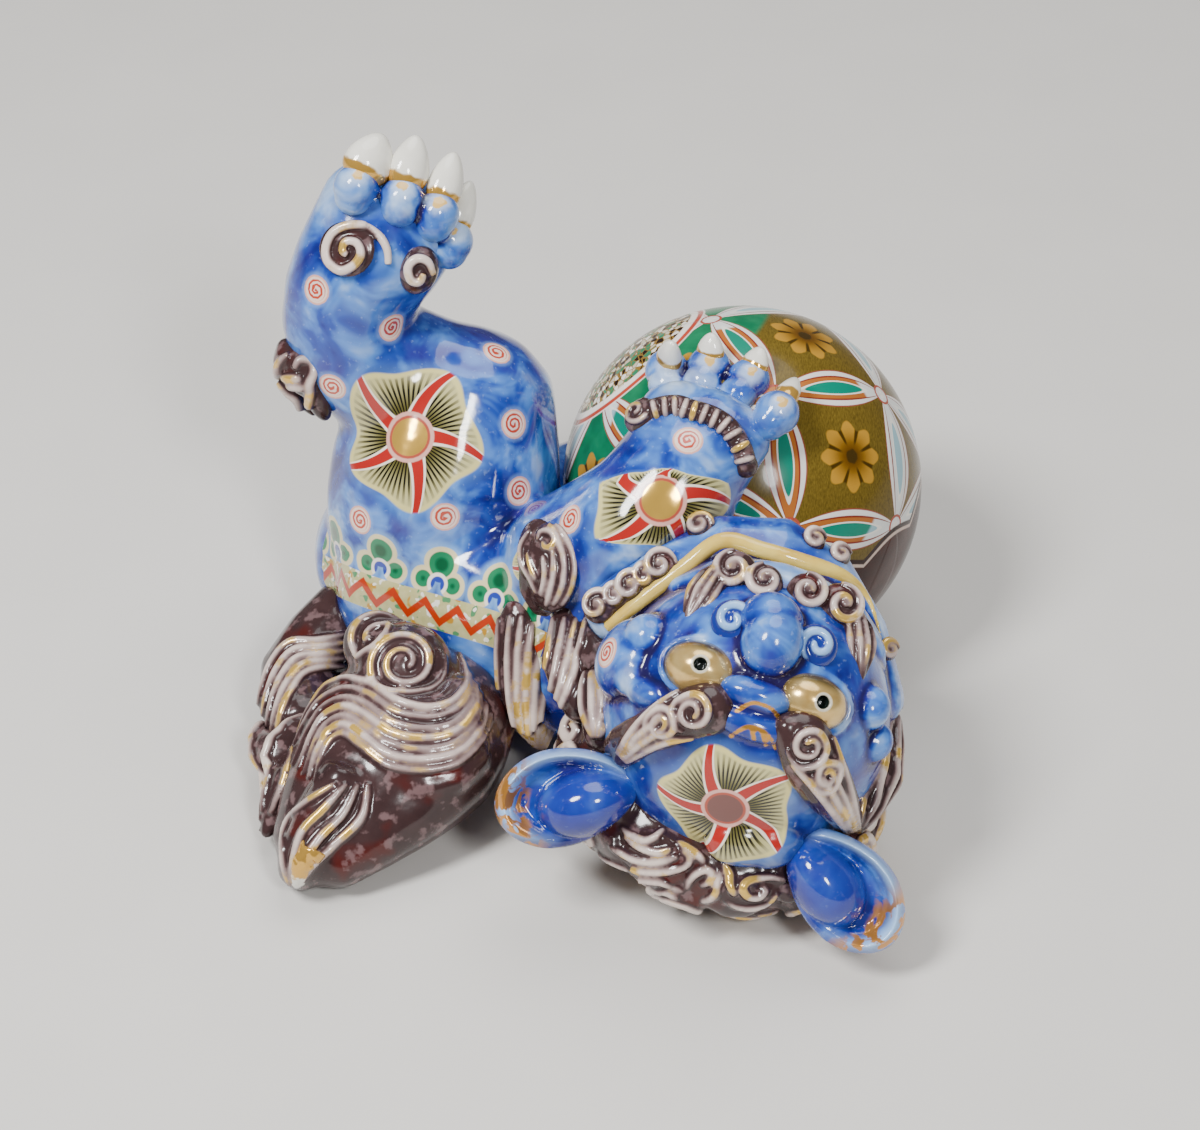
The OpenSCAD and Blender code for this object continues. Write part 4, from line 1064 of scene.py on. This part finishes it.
for side, name in ((-1, "left_ear"), (1, "right_ear")):
    mirror = Vector((side, 1, 1))
    ear_way = way_on_head(*(mirror * ear_run))
    root = on_head(*(mirror * ear_root))
    place = facing(root + ear_way * ear_length * 0.5, way_on_head(*ear_look), ear_way)
    ear_form = bmesh.new()
    bmesh.ops.create_icosphere(ear_form, subdivisions=6, radius=1.0)
    notes = []
    for vert in ear_form.verts:
        x, y, z = vert.co
        edge = math.hypot(x, y)
        face_side = x * -side
        wide = 0.7 + 0.3 * math.sin((y + 1) / 2 * math.pi * 0.62)
        roll = max(0.0, 1 - abs(edge - 0.86) / 0.17) * min(1.0, max(0.0, 0.65 + 0.9 * face_side + 0.8 * y))
        lobe_off = math.hypot((face_side + 0.22) / 0.74, (y + 0.24) / 0.72)
        lobe = max(0.0, 1 - lobe_off ** 2)
        rise = z * 0.5
        if z > 0:
            bowl = 0.5 * z * max(0.0, (edge - 0.62) / 0.38) ** 0.5
            rise = max(bowl, 0.5 * roll ** 0.5, 0.95 * lobe ** 0.55 - 0.1)
        vert.co = (x * wide * ear_width / 2, y * ear_length / 2, rise * ear_thick)
        groove = max(0.0, 1 - abs(lobe_off - 1.02) / 0.16) * (z > 0) * (1 - roll)
        notes.append((roll * (z > -0.2), y - 0.4 * groove, min(1.0, lobe * 2.5)))
    ear = object_of(name + "_glazed", ear_form)
    keep(ear, "ear", np.array(notes))
    ear.data.transform(place)
    ear.data.shade_smooth()
    finish_piece(ear, ear_glaze, "blue_glaze", name)

# Mane
# The mane behind the skull is a pad set with snail curls, with drawn-out locks under the brow.
# The sideburns and the neck locks are flames of clay combed with a point. All in hair glaze.
lock_grain = 0.4 * mm


def solids_of(node):
    """Vertex positions of each separate solid of a CAD node, in the order of its first corner."""
    form = bmesh.new()
    add_solids(form, node)
    groups = []
    for seed in form.verts:
        if seed.tag:
            continue
        seed.tag = True
        group, waiting = [], [seed]
        while waiting:
            vert = waiting.pop()
            group.append(vert.co.copy())
            for edge in vert.link_edges:
                other = edge.other_vert(vert)
                if not other.tag:
                    other.tag = True
                    waiting.append(other)
        groups.append(group)
    form.free()
    return groups


def run_of(points):
    """Middle, long way, cross way and thin way of a cloud of points, with their half sizes."""
    cloud = np.array([tuple(p) for p in points])
    middle = (cloud.min(axis=0) + cloud.max(axis=0)) / 2
    _, _, ways = np.linalg.svd(cloud - cloud.mean(axis=0), full_matrices=False)
    flat = (cloud - middle) @ ways.T
    middle = middle + ((flat.min(axis=0) + flat.max(axis=0)) / 2) @ ways
    halves = (flat.max(axis=0) - flat.min(axis=0)) / 2
    return Vector(middle), [Vector(w) for w in ways], halves


def combed(piece, points, count, twist):
    """Paths that run the length of a lock all round it and close at both ends."""
    reach = 0.92
    middle, (long, cross, thin), (length, width, depth) = run_of(points)
    paths = []
    for k in range(count):
        path = []
        for j in range(25):
            along = reach * (2 * j / 24 - 1)
            turn = 2 * math.pi * k / count + twist * along
            full = math.sqrt(max(0.0, 1 - along * along))
            aside = cross * (math.cos(turn) * width) + thin * (math.sin(turn) * depth)
            at = middle + long * (along * length) + aside * (0.15 + full)
            path.append((at, 0.35 + 0.65 * full))
        paths.append(lay(piece, path))
    return paths


def parted(path, jump=2.6 * mm, fewest=5):
    """The runs of a path between its jumps from one surface to another behind it."""
    runs = [[path[0]]]
    for before, point in zip(path, path[1:]):
        if (point[0] - before[0]).length > jump:
            runs.append([])
        runs[-1].append(point)
    return [run for run in runs if len(run) >= fewest]


def swept(piece, first, last, count):
    """Cords under a row of pixels, spread evenly from the first guide to the last."""
    cords = []
    for k in range(count):
        part = k / (count - 1)
        cords += parted(traced(piece, [(a[0] + (b[0] - a[0]) * part, a[1] + (b[1] - a[1]) * part)
                                       for a, b in zip(first, last)]))
    return cords


def lock(name, node, count, thickness, twist=0.0, grain=0.6 * mm, passes=4, guides=None, lines=(),
         pads=()):
    """A lock of hair: the skin of its CAD node and of pads on the trunk, given as pixel and half
    sizes, with raised ridges, combed or under rows of pixels."""
    form = bmesh.new()
    add_solids(form, node)
    for pixel, *sizes in pads:
        add_ball(form, seat(body, pixel, 0.5), [size * mm for size in sizes])
    core = skin(name + "_core", form, grain, passes)
    cords = []
    for points in solids_of(node) if count else ():
        cords += combed(core, points, count, twist)
    if guides:
        cords += swept(core, *guides)
    for pixels in lines:
        cords += parted(traced(core, pixels, 0.3, under=body))
    hair_on(core, name, cords, thickness, lock_grain, node)


nape_cord = 0.95 * mm
nape_curl_fat = 1.75
nape_core_grain, nape_grain = 0.8 * mm, 0.45 * mm
nape_turn_gap = 3.9 * mm
nape_depth, nape_probe = 6 * mm, 8 * mm
nape_spacing = 0.75
nape_curl_sizes = ((7.0 * mm, 32), (4.6 * mm, 90))
golden_turn = math.radians(137.5)
nape_middle = (0.0, -18.5, 2.9)
nape_reach = (34.0, 17.0, 30.5)
# Drawn-out locks of the mane, each a row of pixels from its root to its point.
nape_lines = (((598, 851), (605, 858), (618, 864), (637, 870), (655, 872), (673, 870), (687, 864),
               (689, 857), (680, 852)),
              ((610, 846), (623, 854), (637, 860), (652, 862), (667, 860), (678, 856)),
              ((625, 836), (635, 844), (647, 850), (660, 852), (672, 848)),
              ((622, 827), (633, 836), (646, 840), (657, 836), (664, 829)),
              ((676, 842), (688, 848), (699, 856), (704, 863)),
              ((603, 868), (622, 876), (645, 880), (664, 883), (684, 892)),
              ((687, 889), (690, 880), (698, 872), (708, 869), (712, 875), (707, 883), (700, 885)),
              ((700, 900), (709, 899), (717, 892), (720, 880), (718, 870)),
              ((723, 862), (729, 873), (730, 885), (735, 895)),
              ((786, 880), (770, 877), (754, 879), (743, 886), (747, 895), (758, 897), (765, 891),
               (760, 887)),
              ((726, 900), (738, 906), (753, 907), (767, 902), (778, 893)))


def nape_curls(core):
    """Combed locks where the mane is seen under the brow, and snail curls evenly over the rest."""
    paths = [run for line in nape_lines for run in parted(traced(core, line, 0.5, curl_lift))]
    taken = [(at, mm) for path in paths for at, _ in path]
    for size, count in nape_curl_sizes:
        for k in range(count):
            depth = 0.5 - 1.5 * (k + 0.5) / count
            turn = golden_turn * k
            ring = math.sqrt(1 - depth * depth)
            way = (ring * math.cos(turn), depth, ring * math.sin(turn))
            spot = on_head(*(m + r * w for m, r, w in zip(nape_middle, nape_reach, way)))
            out = way_on_head(*(w / r for r, w in zip(nape_reach, way)))
            hit, at, normal, _ = core.ray_cast(spot + nape_probe * out, -out)
            free = hit and all((at - other).length > nape_spacing * (size + room) for other, room in taken)
            if free and (at - spot).length < nape_depth:
                hand = 1 if k % 2 else -1
                path = coil(facing(at, normal, crown), size, size / nape_turn_gap, hand, turn)
                paths.append([(laid, nape_curl_fat * fat) for laid, fat in lay(core, path)])
                taken.append((at, size))
    return paths


nape_form = bmesh.new()
add_solids(nape_form, "nape_mane")
nape = skin("nape_core", nape_form, nape_core_grain, 6)
hair_on(nape, "nape_mane_glazed", nape_curls(nape), nape_cord, nape_grain, "nape_mane")
burn_left = ((586, 672), (583, 690), (584, 712), (594, 738))
burn_right = ((604, 668), (611, 688), (611, 712), (600, 738))
lock("left_cheek_mane_glazed", "left_cheek_mane", 0, 1.2 * mm, guides=(burn_left, burn_right, 4))
lock("right_cheek_mane_glazed", "right_cheek_mane", 9, 1.1 * mm, -0.6)
neck_left = ((500, 614), (498, 655), (502, 700), (513, 735), (526, 755))
neck_right = ((586, 618), (579, 652), (567, 694), (553, 724), (545, 748))
# Pixel and half sizes across, up and out, in mm.
neck_pads = (((520, 668), 5.6, 15.0, 3.0), ((532, 722), 3.8, 8.0, 2.4))
lock("neck_locks_glazed", "neck_locks", 0, 1.1 * mm, guides=(neck_left, neck_right, 9), pads=neck_pads)

# Paws
# Four round toes to a paw, pressed on with slip, each with a broad blunt claw that is left
# white under a clear glaze, with the quick touched in with gold.
claw_wide, claw_thick = 4.0 * mm, 3.2 * mm
knuckle_size = 4.7 * mm
knuckle_back = 7.0 * mm
# Size of the painted highlight on each knuckle.
highlight_size = 3.0 * mm
toe_grain = 0.5 * mm
knuckle_pixels = {"left_hind": ((356, 187), (402, 199), (437, 214), (451, 241)),
                  "left_fore": ((667, 371), (709, 368), (748, 381), (777, 413))}
claw_pixels = {"left_hind": ((383, 134), (417, 135), (455, 152), (471, 181)),
               "left_fore": ((672, 342), (712, 333), (762, 347), (796, 378))}
quick_shift = {"left_fore": 0.45}
claw_wides = {"left_hind": (1.3, 1.08, 0.95, 0.8), "left_fore": (0.72, 0.78, 0.78, 0.7)}
white_glaze, paint, shade = glaze("white_claw_glaze")
root_part = paint.kept("claw")[2]
ivory = paint.mottle(200.0, "dcd9cc", "f3f0e6")
ragged = paint.plus(root_part, paint.times(paint.noise(paint.here(), 300.0, 2.0), 0.4))
quick = paint.step(ragged, -0.12, -0.24)
paint.feed(shade["Base Color"], paint.mix(quick, ivory, "d6a64a"))
paint.feed(shade["Metallic"], paint.times(quick, 0.6))
paint.ripple(shade, 250.0, 0.2 * mm)
plain_blue, paint, shade = glaze("plain_blue_glaze")
# Painted highlight on the toes: a pale glint with a gold centre where each knuckle turns to the camera.
knuckle_far = paint.kept("dot")[2]
painted_highlight = paint.plus(knuckle_far, paint.times(paint.noise(paint.here(), 420.0, 2.0), 0.9))
base = paint.coats(cobalt(paint), (painted_highlight, 1.7, 0.9, "b9cfee", 0.75), (painted_highlight, 0.92, 0.8, "dcb46a"))
paint.feed(shade["Base Color"], base)
paint.ripple(shade, 160.0, 0.4 * mm)


def seen_at(node, pixel):
    """Point on the line of sight through a pixel, as deep as the nearest corner of a CAD node."""
    sight = through_pixel(*pixel)
    gaps = positions(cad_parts[node].data) - np.array(eye_at)
    deep = gaps @ np.array(sight)
    nearest = np.argmin(np.linalg.norm(gaps - deep[:, None] * np.array(sight), axis=1))
    return eye_at + float(deep[nearest]) * sight


for limb in ("left_hind", "right_hind", "left_fore", "right_fore"):
    toe_form = bmesh.new()
    toes_low, toes_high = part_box(limb + "_toes")
    paw_middle = (toes_low + toes_high) / 2
    toes = []
    for points in solids_of(limb + "_claws"):
        at, (long, _, _), halves = run_of(points)
        long = long if long.dot(at - paw_middle) > 0 else -long
        toes.append((at - knuckle_back * long, at + float(halves[0]) * long))
    if limb in knuckle_pixels:
        toes = []
        for knuckle, claw in zip(knuckle_pixels[limb], claw_pixels[limb]):
            at = seen_at(limb + "_toes", knuckle)
            tip = seen_at(limb + "_claws", claw)
            toes.append((at + 0.8 * knuckle_size * through_pixel(*knuckle), tip))
    row = (toes[-1][0] - toes[0][0]).normalized()
    claw_form = bmesh.new()
    notes = []
    for (knuckle, tip), wide in zip(toes, claw_wides.get(limb, (1.0,) * 4)):
        long = (tip - knuckle).normalized()
        root = knuckle.lerp(body.closest_point_on_mesh(knuckle - 0.7 * knuckle_size * long)[1], 0.6)
        add_ball(toe_form, Matrix.Translation(knuckle), (knuckle_size,) * 3)
        add_ball(toe_form, Matrix.Translation(root), (0.85 * knuckle_size,) * 3)
        half_length = 0.47 * (tip - knuckle).length
        place = facing(tip - half_length * long, long, long.cross(row))
        known = len(claw_form.verts)
        bmesh.ops.create_icosphere(claw_form, subdivisions=4, radius=1.0)
        claw_form.verts.ensure_lookup_table()
        for vert in claw_form.verts[known:]:
            x, y, z = vert.co
            notes.append((x, y, z - quick_shift.get(limb, 0.0)))
            slim = wide * (1 - 0.28 * z)
            vert.co = place @ Vector((x * claw_wide * slim, y * claw_thick * slim, z * half_length))
    claws = object_of(limb + "_claws_glazed", claw_form)
    keep(claws, "claw", np.array(notes))
    claws.data.shade_smooth()
    finish_piece(claws, white_glaze, "white_glaze", limb + "_claws")
    toe_piece = skin(limb + "_toes_glazed", toe_form, toe_grain, 3, glaze_swell)
    # Spots for the painted highlights, where each knuckle turns towards the camera.
    tops = []
    for knuckle, tip in toes:
        out = ((tip - knuckle).normalized() - 2 * view_forward).normalized()
        tops.append((knuckle + knuckle_size * out, out, highlight_size, 0.0, whole))
    mark(toe_piece, "dot", tops)
    finish_piece(toe_piece, plain_blue, "blue_glaze", limb + "_toes")

# Tufts and curls of the legs
# A tuft on the hock and on the elbow, two snail curls at the raised ankle, and a barred cuff
# that ends in a curl round the wrist on the ball. Rolled cords of clay in hair glaze.
hock_lines = (((295, 369), (300, 360), (310, 362), (313, 372), (309, 384), (310, 394), (309, 406),
               (306, 418), (302, 433)),
              ((290, 355), (281, 361), (278, 371), (281, 382), (288, 392), (297, 400), (301, 411),
               (301, 424)),
              ((284, 378), (293, 378), (302, 379)), ((289, 386), (297, 386), (304, 388)))
hock_pads = (((298, 375), 4.4, 5.4, 3.6), ((304, 408), 2.8, 6.6, 2.6))
lock("hock_tuft_glazed", "left_hock_tuft", 0, 1.3 * mm, lines=hock_lines, pads=hock_pads)
elbow_lines = (((551, 520), (562, 532), (571, 550), (574, 570), (570, 590), (561, 606)),
               ((549, 524), (558, 540), (564, 562), (562, 586), (553, 606)),
               ((553, 550), (554, 572), (550, 592), (546, 606)), ((543, 555), (545, 574), (541, 596)),
               ((530, 530), (521, 546), (522, 563), (530, 578), (537, 594)),
               ((528, 552), (531, 566), (537, 580)),
               ((538, 541), (541, 532), (550, 531), (555, 538), (552, 546), (545, 547), (543, 541)))
elbow_pads = (((552, 568), 6.0, 9.6, 2.8), ((537, 552), 4.8, 7.4, 2.2))
lock("elbow_tuft_glazed", "left_elbow_tuft", 0, 0.8 * mm, lines=elbow_lines, pads=elbow_pads)
ankle_lines = (((388, 264), (387, 250), (380, 237), (365, 227), (348, 226), (334, 233), (327, 247),
                (329, 261), (341, 270), (354, 265), (361, 254), (357, 243), (346, 242), (343, 251),
                (348, 255)),
               ((432, 274), (427, 262), (417, 259), (409, 267), (411, 279), (419, 281), (423, 273)))
ankle_pads = (((347, 249), 6.2, 6.0, 1.4), ((419, 270), 4.4, 5.4, 3.4))
ankle_cord, ankle_lift = 1.1 * mm, 0.3 * mm
pad_grain = 0.4 * mm
ankle_form = bmesh.new()
for pixel, *sizes in ankle_pads:
    add_ball(ankle_form, seat(body, pixel, 0.0), [size * mm for size in sizes])
ankle_core = skin("ankle_core", ankle_form, pad_grain, 2)
ankle_cords = [traced(ankle_core, pixels, 0.3, ankle_lift, body) for pixels in ankle_lines]
hair_on(ankle_core, "ankle_curls_glazed", ankle_cords, ankle_cord, curl_grain, "left_ankle_curls")
wrist_curl_pixel, wrist_size = (642, 416), 4.2 * mm
wrist_dome = 0.62 * wrist_size
cuff_pixels = ((650, 411), (664, 407), (678, 406), (690, 410), (704, 414), (718, 420), (731, 431),
               (741, 448), (746, 466))
cuff_size, bar_size = 2.5 * mm, 0.85 * mm
bar_count, bar_reach = 11, 9
bead_size = 2.6 * mm
wrist_place = seat(body, wrist_curl_pixel, 0.5)
cuff = traced(body, cuff_pixels, 0.0)
cuff_form = bmesh.new()
add_ball(cuff_form, wrist_place, (wrist_size, wrist_size, wrist_dome))
cuff_form.from_mesh(strands([cuff], cuff_size))
add_ball(cuff_form, Matrix.Translation(cuff[-1][0]), (bead_size,) * 3)
cuff_core = skin("cuff_core", cuff_form, pad_grain, 3)
cuff_cords = [coil(wrist_place, 0.8 * wrist_size, 1.5, -1, math.pi / 2, dome=wrist_dome)]
for k in range(bar_count):
    part = (k + 0.5) / bar_count * (len(cuff_pixels) - 1)
    i = int(part)
    start, end = Vector(cuff_pixels[i]), Vector(cuff_pixels[i + 1])
    spot = start.lerp(end, part - i)
    square = bar_reach * Vector((end.y - start.y, start.x - end.x)).normalized()
    ends = [spot + f * square for f in (-1.0, 0.0, 1.0)]
    cuff_cords.append(traced(cuff_core, [(e.x, e.y) for e in ends], 0.3, under=body))
hair_on(cuff_core, "wrist_curls_glazed", cuff_cords, bar_size, curl_grain, "left_wrist_curls")

# Tail
# A thick stem that loops out and forward into a hollow bushy plume, with two large snail curls on
# top, cords swept round them, a flame lock at the side and a white tip.
stem_upper = ((345, 634), (318, 640), (290, 642), (272, 662), (262, 690), (258, 715))
stem_lower = ((345, 667), (322, 668), (304, 674), (292, 690), (282, 712), (276, 737))
lock("tail_stem_glazed", "tail_stem", 0, 1.05 * mm, grain=0.8 * mm, passes=6,
     guides=(stem_upper, stem_lower, 5))
lock("tail_side_lock_glazed", "tail_side_lock", 6, 1.2 * mm, 0.4)
plume_form = bmesh.new()
add_solids(plume_form, "tail_plume", "tail_curls")
curl_way = Vector((0, -0.55, 0.83))
# Place in mm, radius in mm, turns, hand and turn at the start.
plume_curl_rows = (((-46.0, -9.5, 31.0), 6.8, 1.7, 1, 0.5), ((-39.5, -17.0, 30.5), 9.2, 2.2, -1, 0.3))
plume_curls = [(facing(Vector(at) * mm, curl_way, view_up), size * mm, *winding)
               for at, size, *winding in plume_curl_rows]
for place, size, _, _, _ in plume_curls:
    add_ball(plume_form, place, (size * 1.1, size * 1.1, size * 0.6))
flame_pixels = ((345, 770), (330, 797), (314, 825), (303, 852), (296, 880))
flame_size, flame_sink = 5.0 * mm, 1.0 * mm
flame_path = traced(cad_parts["tail_plume"], flame_pixels, 0.0, -flame_sink)
plume_form.from_mesh(strands([flame_path], flame_size))
plume_core_grain, plume_grain = 0.8 * mm, 0.45 * mm
plume_swell = 0.5 * mm
plume = skin("plume_core", plume_form, plume_core_grain, 30, plume_swell)
upper_sweep = ((459, 653), (466, 679), (453, 700), (427, 707), (396, 700), (370, 683), (344, 679),
               (318, 692), (303, 713), (292, 735), (281, 757))
lower_sweep = ((492, 713), (483, 739), (457, 763), (422, 770), (388, 765), (362, 746), (346, 734),
               (333, 738), (324, 752), (318, 770), (315, 783))
outer_tress = ((336, 783), (305, 804), (286, 826), (284, 861), (290, 885))
inner_tress = ((368, 783), (362, 817), (336, 843), (312, 865), (299, 885))
plume_cords = []
for place, size, turns, hand, start in plume_curls:
    plume_cords.append(lay(plume, coil(place, size, turns, hand, start, dome=0.7 * size), curl_lift))
for k, path in enumerate(swept(plume, upper_sweep, lower_sweep, 7)):
    plume_cords.append([(at, fat * (0.8 if k % 2 else 1.0)) for at, fat in path])
plume_cords += swept(plume, outer_tress, inner_tress, 4)
plume_cord = 1.1 * mm
plume_piece = hair_on(plume, "tail_plume_glazed", plume_cords, plume_cord, plume_grain,
                      "tail_plume", "tail_curls")
tip_pixels = ((309, 848), (303, 864), (298, 880), (295, 892))
tip_size, tip_sink, tip_grain = 3.2 * mm, 1.8 * mm, 0.4 * mm
tip_path = traced(plume_piece, tip_pixels, 0.0, -tip_sink)
tip_path = [(at, 1 - 0.45 * k / (len(tip_path) - 1)) for k, (at, _) in enumerate(tip_path)]
tip_form = bmesh.new()
tip_form.from_mesh(strands([tip_path], tip_size))
add_ball(tip_form, Matrix.Translation(tip_path[-1][0]), (0.5 * tip_size,) * 3)
tip = skin("tail_tip_glazed", tip_form, tip_grain, 3)
tip_line = np.array([tuple(at) for at, _ in tip_path])
tip_gaps = np.linalg.norm(positions(tip.data)[:, None] - tip_line[None], axis=2)
tip_part = tip_gaps.argmin(axis=1) / (len(tip_line) - 1)
keep(tip, "claw", np.column_stack((tip_part, tip_part, 2.0 * tip_part - 1.6)))
finish_piece(tip, white_glaze, "white_glaze", "tail_tip")
